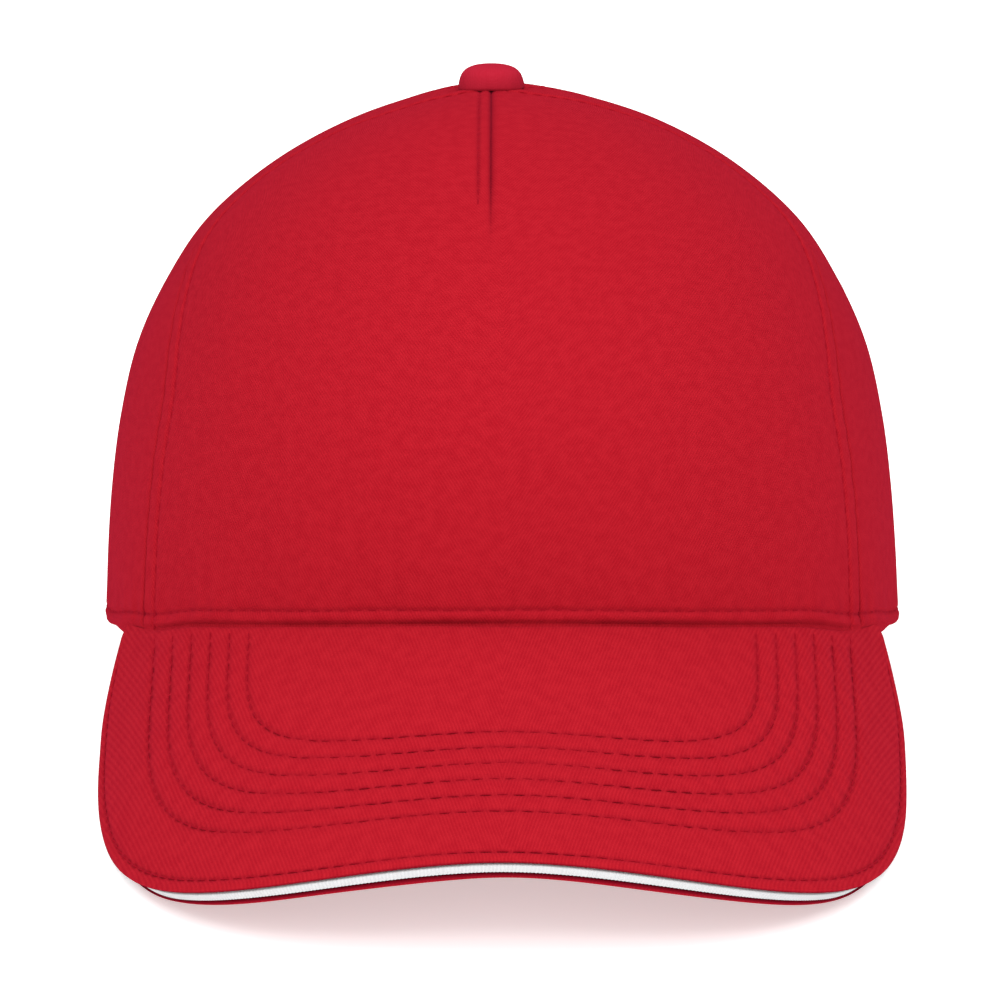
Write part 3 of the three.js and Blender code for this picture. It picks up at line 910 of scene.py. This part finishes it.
@dataclass(frozen=True)
class Cloth:
    """Finish of a cloth: its colours, as display values from 0 to 255, with a darker colour painted into
    creases as shade, and its weave.
    """

    name: str
    colour: tuple[int, int, int]
    shade: tuple[int, int, int]
    weave: Weave = Weave.TWILL
    pitch: float = 0.7
    lean: float = 64 * DEG
    bump: float = 0.06
    sheen: float = 0.05
    sheen_tint: tuple[float, float, float] = (0.9, 0.1, 0.3)
    roughness: float = 0.85
    # Painted shade: dark colour that the cloth's colour is blended towards in seams, grooves and along the
    # peak's lip.
    crease: tuple[int, int, int] = (126, 13, 29)
    gain: float = 0.62

    def material(self) -> bpy.types.Material:
        """Material of this finish, whose pattern follows the place on the cloth."""
        graph = Graph(self.name)
        cloth = graph.node("ShaderNodeUVMap", {"uv_map": "cloth"}, {})
        across, up = graph.parts(cloth)
        uneven = graph.noise(cloth, 0.35, 3.0)
        fuzz = graph.noise(cloth, 2.6, 2.0)
        pattern = self.pattern(across, up, uneven, fuzz)
        tone = pattern * 0.6 + fuzz.range(0.25, 0.75) * 0.3 + uneven.range(0.3, 0.7) * 0.3
        # Painted shade: the mesh's crease attribute blends the colour towards the dark crease colour,
        # standing in for the shade in creases.
        crease = graph.node("ShaderNodeAttribute", {"attribute_name": "crease"}, {}, "Fac")
        shade, plain, crease_shade_colour = (linear(row, self.gain) for row in (self.shade, self.colour, self.crease))
        relief = {"Strength": 1.0, "Distance": self.bump * MM, "Height": pattern + fuzz * 0.5}
        links = {
            "Base Color": graph.blend(graph.blend(shade, plain, tone), crease_shade_colour, crease),
            "Normal": graph.node("ShaderNodeBump", {}, relief),
            "Roughness": self.roughness,
            "Sheen Weight": self.sheen,
            "Sheen Roughness": 0.5,
            "Sheen Tint": (*self.sheen_tint, 1.0),
            "Specular IOR Level": 0.0,
        }
        return graph.finish(graph.node("ShaderNodeBsdfPrincipled", {}, links))

    def pattern(self, across: Val, up: Val, uneven: Val, fuzz: Val) -> Val:
        """Height of the weave from 0 to 1.

        Args:
            across: Place across the cloth, in millimetres.
            up: Place up the cloth.
            uneven: Slow noise.
            fuzz: Fine noise.

        Returns:
            The height.
        """
        if self.weave is Weave.TWILL:
            rib = (abs(across) - up / math.tan(self.lean)) / self.pitch + uneven * 0.5 + fuzz * 0.25
            float_over = (abs(across) * 0.45 + up * 0.9) / self.pitch + uneven
            return rib.wave() * (float_over.wave() * 0.35 + 0.65)
        if self.weave is Weave.RIBBED:
            return (across / self.pitch).wave()
        return (across / self.pitch).wave() * 0.5 + (up / self.pitch).wave() * 0.5


CROWN_CLOTH = Cloth("crown_cloth", (198, 34, 47), (174, 20, 35))
PEAK_CLOTH = Cloth("peak_cloth", (199, 35, 47), (175, 21, 36), lean=76 * DEG)
BUTTON_CLOTH = Cloth("button_cloth", (194, 39, 59), (188, 32, 52), Weave.PLAIN, 0.5, bump=0.02, gain=0.64)
UNDER_CLOTH = Cloth("under_cloth", (190, 30, 46), (168, 18, 36))
BAND_CLOTH = Cloth("band_cloth", (184, 28, 42), (158, 16, 32), bump=0.04)
STRAP_CLOTH = Cloth("strap_cloth", (190, 31, 44), (160, 18, 34), Weave.PLAIN, 0.8)
TRIM_CLOTH = Cloth(
    "trim_cloth", (234, 234, 235), (222, 223, 225), Weave.RIBBED, bump=0.04, sheen=0, gain=0.64
)
THREAD_CLOTH = Cloth("thread", (178, 24, 40), (162, 17, 34), Weave.PLAIN, 0.3, bump=0.02)


@dataclass
class Wardrobe:
    """Finishes of the cap by name, made once each."""

    made: dict[str, bpy.types.Material] = field(default_factory=dict)

    def dress(self, piece: bpy.types.Object, cloth: Cloth, slot: str, nodes: Sequence[str] = ()) -> None:
        """Gives a piece its finish and its body, and hides the nodes that it stands for.

        Args:
            piece: The piece.
            cloth: Its finish.
            slot: Its slot in the record; not used.
            nodes: The CAD nodes that it replaces.
        """
        if cloth.name not in self.made:
            self.made[cloth.name] = cloth.material()
        piece.data.materials.append(self.made[cloth.name])
        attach(piece, "root")
        if nodes:
            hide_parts(*nodes)
        LOG.info("%s: %d faces", piece.name, len(piece.data.polygons))


@dataclass
class Crown:
    """Five cloth panels with their seams, stitched rows and eyelets."""

    shape: CrownShape
    maker: MeshMaker
    wardrobe: Wardrobe
    grid: float = 1.5
    near_seam: tuple[float, ...] = (0, 0.1, 0.25, 0.45, 0.7, 1.0, 1.4, 1.9, 2.3, 2.5, 2.7, 2.9, 3.2, 3.7, 4.2)
    near_topstitch: tuple[float, ...] = (4.7, 5.0, 5.3, 5.6, 6.0, 6.8)
    line_rounds: int = 12
    arch_length: float = 34
    upper_length: float = 140
    rim_rows: int = 22
    rim_band: float = 8.5
    eyelet_azimuths: tuple[float, float] = (101 * DEG, 152 * DEG)
    eyelet_rises: tuple[float, float] = (0.6, 0.66)
    eyelet_hole: float = 1.8
    eyelet_ring: float = 3.7
    eyelet_height: float = 0.55
    eyelet_ribs: int = 28
    eyelet_rib: float = 0.14
    hole_sides: int = 24
    thread: Thread = Thread()

    def near_rim(self) -> Array:
        """Heights above the rim of the lowest rows."""
        return np.concatenate([[0.03, 0.12, 0.3, 0.55], np.linspace(0.9, self.rim_band, self.rim_rows)])

    def upper_shares(self) -> Array:
        """Places of the upper rows, close together towards the top of the rear opening."""
        shape = self.shape
        low = shape.row_climbs(np.array(math.pi), self.near_rim(), np.zeros(0))[-1]
        start = math.asin(self.rim_band / shape.opening_height)
        arch = np.linspace(start, math.pi / 2, max(round(self.arch_length / self.grid), 6))[1:]
        arched = shape.climb_of_rise(shape.opening_height * np.sin(arch) / shape.top)
        count = max(round(self.upper_length / self.grid), 12)
        over = np.linspace(arched[-1], shape.last_climb, count)[1:]
        return (np.concatenate([arched, over]) - low) / (shape.last_climb - low)

    def panel(
        self,
        name: str,
        lines: Sequence[Callable[[Array], Array]],
        side: int,
        width: float,
    ) -> bpy.types.Object:
        """One panel between its seam lines.

        Args:
            name: The panel's CAD node.
            lines: Azimuth of each line over the climbs, from one edge to the other.
            side: 1 for the right and -1 for the left.
            width: Rough distance between two lines at the rim, in millimetres.

        Returns:
            The panel.
        """
        shape = self.shape
        near = np.array(self.near_seam + self.near_topstitch)
        near_rim, shares = self.near_rim(), self.upper_shares()
        azimuths, rates = [], []
        for line in lines:
            climb = np.linspace(0, shape.last_climb, len(near_rim) + len(shares))
            for _ in range(self.line_rounds):
                azimuth = line(climb)
                climb = np.diagonal(shape.row_climbs(azimuth, near_rim, shares))
            azimuths.append(azimuth)
            rates.append(shape.rate(azimuth, climb))
        columns = spread(azimuths, rates, near, max(round(width / self.grid), 4))
        climbs = np.stack([np.diagonal(shape.row_climbs(column, near_rim, shares)) for column in columns])
        azimuth = side * columns
        height, crease = shape.relief(azimuth, climbs)
        face, normal = shape.face(azimuth, climbs), shape.normal(azimuth, climbs)
        outer = face + normal * height[..., None]
        inner = face - normal * shape.wall
        # Painted crease shade on the outer face, none on the inner face.
        crease_shades = (crease, np.zeros_like(crease))
        return self.maker.wall(f"{name}_cloth", outer, inner, shape.cloth(azimuth, climbs), crease_shades)

    def build(self) -> None:
        """Builds and dresses the panels, the stitches and the eyelets."""
        shape = self.shape
        front = [lambda climb: -shape.front_seam(climb), shape.dart, shape.front_seam]
        piece = self.panel("front_panel", front, 1, 82)
        self.wardrobe.dress(piece, CROWN_CLOTH, "crown_twill", ["front_panel"])
        fields = {
            "side_panel": ([shape.front_seam, shape.back_seam], 80),
            "back_panel": ([shape.back_seam, shape.rear_edge], 68),
        }
        for label, side in (("left", -1), ("right", 1)):
            for eyelet, (kind, (lines, width)) in enumerate(fields.items()):
                piece = self.panel(f"{kind}_{label}", lines, side, width)
                self.cut_eyelet(piece, side, eyelet)
                self.wardrobe.dress(piece, CROWN_CLOTH, "crown_twill", [f"{kind}_{label}"])
        stitches = self.thread.sew(self.maker, "crown_stitches", self.stitch_rows())
        self.wardrobe.dress(stitches, THREAD_CLOTH, "crown_twill")
        self.wardrobe.dress(self.eyelets(), THREAD_CLOTH, "crown_twill")

    def eyelet_place(self, side: int, eyelet: int) -> tuple[Array, Array]:
        """Middle of an eyelet on the crown's face, and the normal there."""
        shape = self.shape
        azimuth = np.array(side * self.eyelet_azimuths[eyelet])
        rim = shape.rim_height(azimuth)
        climb = shape.climb_of_rise((shape.top * self.eyelet_rises[eyelet] - rim) / (shape.top - rim))
        return shape.face(azimuth, climb), shape.normal(azimuth, climb)

    def frame_at(self, side: int, eyelet: int) -> tuple[Array, Array, Array, Array]:
        """Middle, two directions along the cloth, and the normal of an eyelet."""
        middle, normal = self.eyelet_place(side, eyelet)
        across = unit(np.cross(np.array([0.0, 0.0, 1.0]), normal))
        return middle, across, np.cross(normal, across), normal

    def cut_eyelet(self, piece: bpy.types.Object, side: int, eyelet: int) -> None:
        """Cuts an eyelet's hole through a panel."""
        middle, across, up, normal = self.frame_at(side, eyelet)
        angle = circle(self.hole_sides)
        edge = (across * np.cos(angle)[:, None] + up * np.sin(angle)[:, None]) * self.eyelet_hole
        reach = 3 * self.shape.wall
        points = np.concatenate([middle + edge + normal * reach, middle + edge - normal * reach])
        near, far = np.arange(2 * self.hole_sides).reshape(2, 1, -1)
        sides = quads(near, np.roll(near, -1), np.roll(far, -1), far)
        drill = self.maker.solid("drill", points, [sides, near[:, ::-1], far], points[:, :2])
        cut = piece.modifiers.new("hole", "BOOLEAN")
        cut.object = drill
        cut.operation = "DIFFERENCE"
        cut.solver = "EXACT"
        graph = bpy.context.evaluated_depsgraph_get()
        whole = piece.data
        piece.data = bpy.data.meshes.new_from_object(piece.evaluated_get(graph))
        piece.data.name = whole.name
        piece.modifiers.clear()
        bpy.data.meshes.remove(whole)
        bpy.data.objects.remove(drill)

    def eyelets(self) -> bpy.types.Object:
        """Rings of overcast thread round the four eyelets, as one mesh."""
        count, section = 168, 14
        turn, bend = circle(count), circle(section)
        middle_radius = (self.eyelet_hole + self.eyelet_ring) / 2 - 0.1
        half = (self.eyelet_ring - self.eyelet_hole) / 2 + 0.1
        ribbed = 1 + self.eyelet_rib * np.abs(np.sin(self.eyelet_ribs / 2 * turn))[:, None]
        radius = middle_radius + half * np.cos(bend) * np.ones_like(ribbed)
        height = self.eyelet_height * np.sin(bend) * ribbed
        points, faces = [], []
        ring = np.arange(count * section).reshape(count, section)
        turned = np.roll(ring, -1, axis=0)
        skin = quads(ring, turned, np.roll(turned, -1, axis=1), np.roll(ring, -1, axis=1))
        for side in (-1, 1):
            for eyelet in range(len(self.eyelet_azimuths)):
                middle, across, up, normal = self.frame_at(side, eyelet)
                flat = across * np.cos(turn)[:, None, None] + up * np.sin(turn)[:, None, None]
                placed = middle + flat * radius[..., None] + normal * height[..., None]
                faces.append(skin + len(points) * count * section)
                points.append(placed.reshape(-1, 3))
        joined = np.concatenate(points)
        return self.maker.solid("eyelet_rings", joined, faces, joined[:, :2])

    def path(self, azimuth: Array, climb: Array) -> tuple[Array, Array]:
        """Points on the crown's skin and their normals."""
        return self.shape.skin(azimuth, climb), self.shape.normal(azimuth, climb)

    def stitch_rows(self) -> list[tuple[Array, Array]]:
        """Paths of all the stitched rows of the crown."""
        shape = self.shape
        rows = []
        climb = np.linspace(0.005, 0.93, 400)
        for side in (-1, 1):
            seam = shape.front_seam(climb)
            rows.append(self.path(side * (seam - shape.topstitch / shape.rate(seam, climb)), climb))
            seam = shape.back_seam(climb)
            for offset in (-shape.rear_topstitch, shape.rear_topstitch):
                rows.append(self.path(side * (seam + offset / shape.rate(seam, climb)), climb))
            above = climb[climb > shape.climb_of_rise(1.08 * shape.opening_height / shape.top)]
            middle = np.full(above.shape, math.pi)
            rows.append(self.path(side * (middle - shape.rear_topstitch / shape.rate(middle, above)), above))
        end = shape.rear_azimuth(shape.opening_half_width + 1, np.array(0.0))
        around = np.linspace(-end, end, 1400)
        rim = shape.rim_height(around)
        above = shape.seam_height(around) + shape.hem_stitch - rim
        rows.append(self.path(around, shape.climb_of_rise(above / (shape.top - rim))))
        bend = np.linspace(0.06, math.pi - 0.06, 400)
        wide = shape.opening_half_width + shape.opening_stitch
        high = shape.opening_height + shape.opening_stitch
        climb = shape.climb_of_rise(high * np.sin(bend) / shape.top)
        rows.append(self.path(math.pi - np.arcsin(wide * np.cos(bend) / shape.side_reach(climb)), climb))
        climb = np.linspace(0.5, 0.935, 400)
        climb = climb[shape.below_button(climb) < shape.dart_stitched]
        rows.append(self.path(shape.dart(climb) - shape.dart_stitch / shape.side_reach(climb), climb))
        return rows


@dataclass
class Peak:
    """Peak in three layers with its stitched rows."""

    shape: PeakShape
    maker: MeshMaker
    wardrobe: Wardrobe
    grid: float = 0.85
    near_lip: tuple[float, ...] = (0.02, 0.08, 0.2, 0.4, 0.7, 1.1, 1.4, 1.7, 2.0, 2.3, 2.6, 3.1, 3.8)
    top_thickness: float = 1.4
    trim_thickness: float = 2.3
    trim_slack: float = 0.2
    trim_radius: float = 0.25
    crevice_radius: float = 0.3
    corner_set_back: float = 0.6
    trim_end: float = 0.94
    trim_depth: float = 9
    trim_share: float = 0.12
    rib: float = 0.7
    rib_height: float = 0.05
    under_thickness: float = 1.4
    stitch_depth: float = 0.12
    thread: Thread = Thread()

    def grid_of(self, columns: int, rows: int) -> tuple[Array, Array]:
        """Turns and shares of the layers' grid, as arrays of columns by rows."""
        turn = np.linspace(-1, 1, columns)
        least = np.minimum(1 / self.shape.room(turn), 0.5 / self.near_lip[-1])
        near = np.array(self.near_lip) * least[:, None]
        far = mix(near[:, -1:], 1.0, np.linspace(0, 1, rows)[1:])
        share = np.concatenate([near, far], axis=1)
        return np.broadcast_to(turn[:, None], share.shape), share

    def room_for_trim(self, turn: Array) -> Array:
        """Thickness that the trim takes along the lip."""
        around = np.abs(turn)
        return self.trim_thickness * (1 - 0.5 * smooth(0.8, self.trim_end, around))

    def edge(self, turn: Array, share: Array) -> Array:
        """Height lost at the edges that face the trim."""
        return roundover(share * self.shape.room(turn), self.crevice_radius)

    def cloth(self, points: Array) -> Array:
        """Places on the cloth from points of the peak."""
        return stack(points[..., 0], points[..., 1] / math.cos(self.shape.slope))

    def build(self) -> None:
        """Builds and dresses the layers and the stitches."""
        shape = self.shape
        columns, rows = round(320 / self.grid), round(64 / self.grid)
        turn, share = self.grid_of(columns, rows)
        relief, crease = shape.relief(turn, share)
        outer = shape.point(turn, share, -relief)
        inner = shape.point(turn, share, self.top_thickness - self.edge(turn, share))
        # Painted shade: the whole inner face takes the dark crease colour, so the lip's edge shows a painted
        # dark line above the trim.
        crease_shades = (crease, np.ones_like(crease))
        top = self.maker.wall("peak_top_cloth", outer, inner, self.cloth(outer), crease_shades)
        self.wardrobe.dress(top, PEAK_CLOTH, "peak_twill", ["peak_top"])
        self.build_trim()
        self.build_underside(turn, share, relief, crease)
        stitches = self.thread.sew(self.maker, "peak_stitches", self.stitch_rows())
        self.wardrobe.dress(stitches, THREAD_CLOTH, "peak_twill")

    def build_trim(self) -> None:
        """Builds the white ribbed layer that shows along the lip."""
        shape = self.shape
        turn = np.linspace(-self.trim_end, self.trim_end, round(300 / (self.rib / 5)))
        along = np.arange(len(turn)) / 5
        near = np.array([0.01, 0.06, 0.15, 0.3, 0.5, 0.8, self.trim_depth])
        deepest = np.minimum(self.trim_depth / shape.room(turn), self.trim_share)
        share = near / self.trim_depth * deepest[:, None]
        turns = np.broadcast_to(turn[:, None], share.shape)
        set_back = self.corner_set_back * smooth(0.42, 0.56, np.abs(turns))
        proud = self.rib_height * np.cos(2 * math.pi * along)[:, None] - set_back
        thick = self.room_for_trim(turns)
        edge = self.trim_slack + roundover(near, self.trim_radius) * np.minimum(1, thick / 2)
        upper = self.top_thickness + shape.gap
        outer = shape.point(turns, share, upper + edge, proud)
        inner = shape.point(turns, share, upper + thick - edge, proud)
        cloth = stack(np.broadcast_to((along * self.rib)[:, None], share.shape), share)
        trim = self.maker.wall("peak_trim_ribbon", outer, inner, cloth)
        self.wardrobe.dress(trim, TRIM_CLOTH, "trim_ribbon", ["peak_trim"])

    def build_underside(self, turn: Array, share: Array, relief: Array, crease: Array) -> None:
        """Builds the lower layer, grooved by the same rows as the top.

        Args:
            turn: Turns of the grid.
            share: Shares of the grid.
            relief: Relief of the top, which the lower face mirrors.
            crease: How far its points lie in a crease, which sets the painted crease shade on its lower face.
        """
        shape = self.shape
        lip_room = self.room_for_trim(turn) + shape.gap
        room = lip_room * (1 - smooth(self.trim_end, 1, np.abs(turn))) * (1 - smooth(0.12, 0.36, share))
        upper = self.top_thickness + shape.gap + room
        outer = shape.point(turn, share, upper + self.under_thickness + relief)
        inner = shape.point(turn, share, upper + self.edge(turn, share))
        # Painted shade: the whole upper face takes the dark crease colour, a painted dark line below the
        # trim.
        crease_shades = (crease, np.ones_like(crease))
        under = self.maker.wall("peak_underside_cloth", outer, inner, self.cloth(outer), crease_shades)
        self.wardrobe.dress(under, UNDER_CLOTH, "underside_twill", ["peak_underside"])

    def stitch_rows(self) -> list[tuple[Array, Array]]:
        """Paths of the rows on the upper face."""
        shape = self.shape
        rows = []
        for row in range(shape.rows):
            x, y = shape.row_path(row)
            rows.append((stack(x, y, shape.height(x, y) - self.stitch_depth), shape.normal(x, y)))
        turn = np.linspace(-0.95, 0.95, 1200)
        points = shape.point(turn, shape.edge_row / shape.room(turn), np.array(self.stitch_depth))
        rows.append((points, shape.normal(points[:, 0], points[:, 1])))
        return rows


@dataclass
class Button:
    """Covered button on the top of the crown."""

    crown: CrownShape
    maker: MeshMaker
    wardrobe: Wardrobe
    radius: float = 7.3
    height: float = 4.6
    gap: float = 0.05
    sides: int = 96
    rings: int = 36
    gathers: int = 13
    gather_height: float = 0.008
    profile: tuple[tuple[float, float], ...] = (
        # out, up
        (0.0, 1.0),
        (0.4, 0.97),
        (0.7, 0.85),
        (0.88, 0.65),
        (0.97, 0.38),
        (1.0, 0.12),
        (0.96, 0.0),
    )

    def seat(self, x: Array, y: Array) -> Array:
        """Height of the crown's face near its top."""
        climbs = np.linspace(0.5, 1, 400)
        rise, side, front, back = split(self.crown.section(climbs))
        shift = self.crown.apex_shift(climbs)
        along = np.where(np.asarray(y)[..., None] < 0, front, back) * self.crown.half_length + 1e-6
        across = (np.asarray(x)[..., None] - shift) / (self.crown.half_width * side + 1e-6)
        inside = np.hypot(across, np.asarray(y)[..., None] / along) < 1
        return self.crown.top * rise[np.clip(inside.sum(axis=-1) - 1, 0, len(climbs) - 1)]

    def build(self) -> None:
        """Builds and dresses the button."""
        table = np.array(self.profile)
        out, up = curve(table, np.linspace(0, len(table) - 1, self.rings), clamped=True).T
        angle = circle(self.sides)
        gather = 1 + self.gather_height * np.cos(self.gathers * angle) * smooth(0.3, 1, 1 - up[:, None])
        x = self.radius * out[:, None] * np.cos(angle) * gather + self.crown.apex_offset
        y = self.radius * out[:, None] * np.sin(angle) * gather
        up = np.broadcast_to(up[:, None], x.shape)
        rise = mix(self.seat(x, y), self.crown.top, up) + self.gap + self.height * up
        points = stack(x, y, rise)[1:].reshape(-1, 3)
        middle = np.array([[self.crown.apex_offset, 0, self.crown.top + self.gap + self.height]])
        base = np.array([[self.crown.apex_offset, 0, self.crown.top + self.gap]])
        ring = np.arange(len(points)).reshape(-1, self.sides)
        turned = np.roll(ring, -1, axis=1)
        faces = [
            quads(ring[:-1], ring[1:], turned[1:], turned[:-1]),
            stack(np.full(self.sides, len(points)), ring[0], turned[0]),
            stack(np.full(self.sides, len(points) + 1), turned[-1], ring[-1]),
        ]
        joined = np.concatenate([points, middle, base])
        cloth = joined[:, :2] + [-self.crown.apex_offset, 0] - [0, 1] * joined[:, 2:]
        piece = self.maker.solid("top_button_cloth", joined, faces, cloth)
        self.wardrobe.dress(piece, BUTTON_CLOTH, "button_twill", ["top_button"])


@dataclass
class InnerBands:
    """Sweatband and closure strap, which follow the inside of the crown."""

    crown: CrownShape
    maker: MeshMaker
    wardrobe: Wardrobe
    gap: float = 0.3
    grid: float = 1.6
    band_height: float = 32
    band_thickness: float = 1.5
    strap_height: float = 22
    strap_thickness: float = 2
    strap_lift: float = 0.8
    strap_tuck: float = 12
    overlap: float = 17
    stitch_inset: float = 3.2
    stitch_groove: Groove = Groove(0.6, 0.15)

    def band(
        self,
        name: str,
        span: tuple[float, float],
        rise: tuple[float, float],
        depth: tuple[float, float],
    ) -> bpy.types.Object:
        """Band along the inside of the crown.

        Args:
            name: The piece's name.
            span: First and last azimuth.
            rise: Lowest and highest height above the rim.
            depth: Depths of its outer and inner face below the crown's outer face.

        Returns:
            The band.
        """
        crown = self.crown
        length = abs(span[1] - span[0]) * crown.half_width
        azimuth = np.linspace(*span, round(length / self.grid))[:, None]
        near = np.array([0.02, 0.15, 0.4, 0.75, 1.2, 1.8, 2.5])
        tall = rise[1] - rise[0]
        middle = np.linspace(near[-1], tall - near[-1], round(tall / self.grid))[1:-1]
        above = np.concatenate([near, middle, tall - near[::-1]])
        room = crown.top - crown.rim_height(crown.wrap(azimuth))
        climb = crown.climb_of_rise((rise[0] + above) / room)
        azimuth = np.broadcast_to(azimuth, climb.shape)
        face, normal = crown.face(azimuth, climb), crown.normal(azimuth, climb)
        radius = 0.45 * (depth[1] - depth[0])
        edge = roundover(np.minimum(above, tall - above), radius)
        stitched = sum(self.stitch_groove.at(place - self.stitch_inset) for place in (above, tall - above))
        outer = face - normal * (depth[0] + edge - stitched * 0.5)[..., None]
        inner = face - normal * (depth[1] - edge + stitched)[..., None]
        cloth = stack(azimuth * crown.half_width, np.broadcast_to(above, azimuth.shape))
        return self.maker.wall(name, outer, inner, cloth)

    def build(self) -> None:
        """Builds and dresses the sweatband and the two overlapping parts of the strap."""
        crown = self.crown
        reach = crown.opening_half_width + self.strap_tuck
        tucked = math.pi - float(crown.rear_azimuth(reach, np.array(0.0)))
        end = math.pi - tucked - 1.5 * self.gap / crown.half_width
        depth = crown.wall + self.gap
        span, rise = (-end, end), (0.0, self.band_height)
        sweatband = self.band("sweatband_cloth", span, rise, (depth, depth + self.band_thickness))
        self.wardrobe.dress(sweatband, BAND_CLOTH, "sweatband_twill", ["sweatband"])
        half = self.strap_thickness / 2
        lap = self.overlap / crown.half_length
        rise = (self.strap_lift, self.strap_lift + self.strap_height)
        tabs = {
            "strap_over": ((math.pi - lap, math.pi + tucked), (depth, depth + half)),
            "strap_under": ((math.pi - tucked, math.pi + lap), (depth + half + 0.05, depth + 2 * half)),
        }
        for name, (span, depths) in tabs.items():
            tab = self.band(name, span, rise, depths)
            self.wardrobe.dress(tab, STRAP_CLOTH, "strap_tape", ["closure_strap"])


@dataclass
class Studio:
    """Floor, light and the camera of the photograph."""

    seat: Seat
    distance: float = 1300
    elevation: float = 10 * DEG
    target_height: float = 50
    scale: float = 4.48
    image: float = 1004
    target_row: float = 397.07
    target_column: float = 502.5
    sensor: float = 36
    fill: float = 0.34
    floor_half: float = 6
    floor_glow: float = 0.5
    lights: tuple[tuple[str, tuple[float, float, float], float, float], ...] = (
        # name, place, side, watts
        ("key", (0.0, -1.9, 1.2), 1.4, 24),
        ("top", (0.0, -0.3, 1.5), 2.5, 44),
    )

    def build(self) -> None:
        """Builds the floor, the light, the camera and the view settings."""
        self.build_camera()
        self.build_floor()
        for light in self.lights:
            self.build_light(*light)
        world = bpy.data.worlds.new("studio")
        world.use_nodes = True
        inputs = world.node_tree.nodes["Background"].inputs
        inputs["Color"].default_value = (1, 1, 1, 1)
        inputs["Strength"].default_value = self.fill
        scene = bpy.context.scene
        scene.world = world
        scene.view_settings.view_transform = "Standard"

    def build_camera(self) -> None:
        """Builds the camera at the photograph's distance and angle."""
        cos, sin = math.cos(self.elevation), math.sin(self.elevation)
        target = np.array([0, 0, self.target_height])
        up = np.array([0, sin, cos])
        eye = target + self.distance * np.array([0, -cos, sin])
        middle = self.image / 2
        aim = target + up * (self.target_row - middle) / self.scale
        aim[0] += (middle - self.target_column) / self.scale
        data = bpy.data.cameras.new("photo_camera")
        data.sensor_width = self.sensor
        data.lens = self.scale * self.distance * self.sensor / self.image
        data.clip_end = 20
        camera = link("photo_camera", data)
        place, look, high = (Vector(self.seat.place(point)) for point in (eye, aim, eye + up * 100))
        back = (place - look).normalized()
        right = (high - place).cross(back).normalized()
        turned = Matrix((right, back.cross(right), back)).transposed()
        camera.matrix_world = Matrix.Translation(place) @ turned.to_4x4()
        bpy.context.scene.camera = camera

    def build_floor(self) -> None:
        """Builds the plain pale floor."""
        mesh = bpy.data.meshes.new("floor")
        far = self.floor_half
        corners = [(-far, -far, 0), (far, -far, 0), (far, far, 0), (-far, far, 0)]
        mesh.from_pydata(corners, [], [(0, 1, 2, 3)])
        graph = Graph("floor_white")
        white = (0.93, 0.93, 0.93, 1)
        links = {"Base Color": white, "Roughness": 0.9, "Specular IOR Level": 0.1}
        links |= {"Emission Color": white, "Emission Strength": self.floor_glow}
        mesh.materials.append(graph.finish(graph.node("ShaderNodeBsdfPrincipled", {}, links)))
        link("floor", mesh)

    def build_light(self, name: str, place: tuple[float, float, float], size: float, power: float) -> None:
        """Builds a square soft light that faces the cap.

        Args:
            name: Its name.
            place: Its place in the row frame.
            size: Its side.
            power: Its power in watts.
        """
        data = bpy.data.lights.new(name, "AREA")
        data.size = size
        data.energy = power
        light = link(name, data)
        light.location = place
        light.rotation_euler = (Vector(place) - Vector((0, 0, 0.06))).to_track_quat("Z", "Y").to_euler()


def main() -> None:
    """Builds the cap and the studio."""
    logging.basicConfig(level=logging.INFO, format="%(name)s: %(message)s")
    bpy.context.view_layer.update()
    seat = Seat.from_record(frame["record"])
    maker = MeshMaker(seat)
    wardrobe = Wardrobe()
    shape = CrownShape()
    coarse = 1
    Crown(shape, maker, wardrobe, grid=Crown.grid * coarse).build()
    Peak(shape.peak, maker, wardrobe, grid=Peak.grid * coarse).build()
    Button(shape, maker, wardrobe).build()
    InnerBands(shape, maker, wardrobe).build()
    Studio(seat).build()


if __name__ == "__main__":
    main()
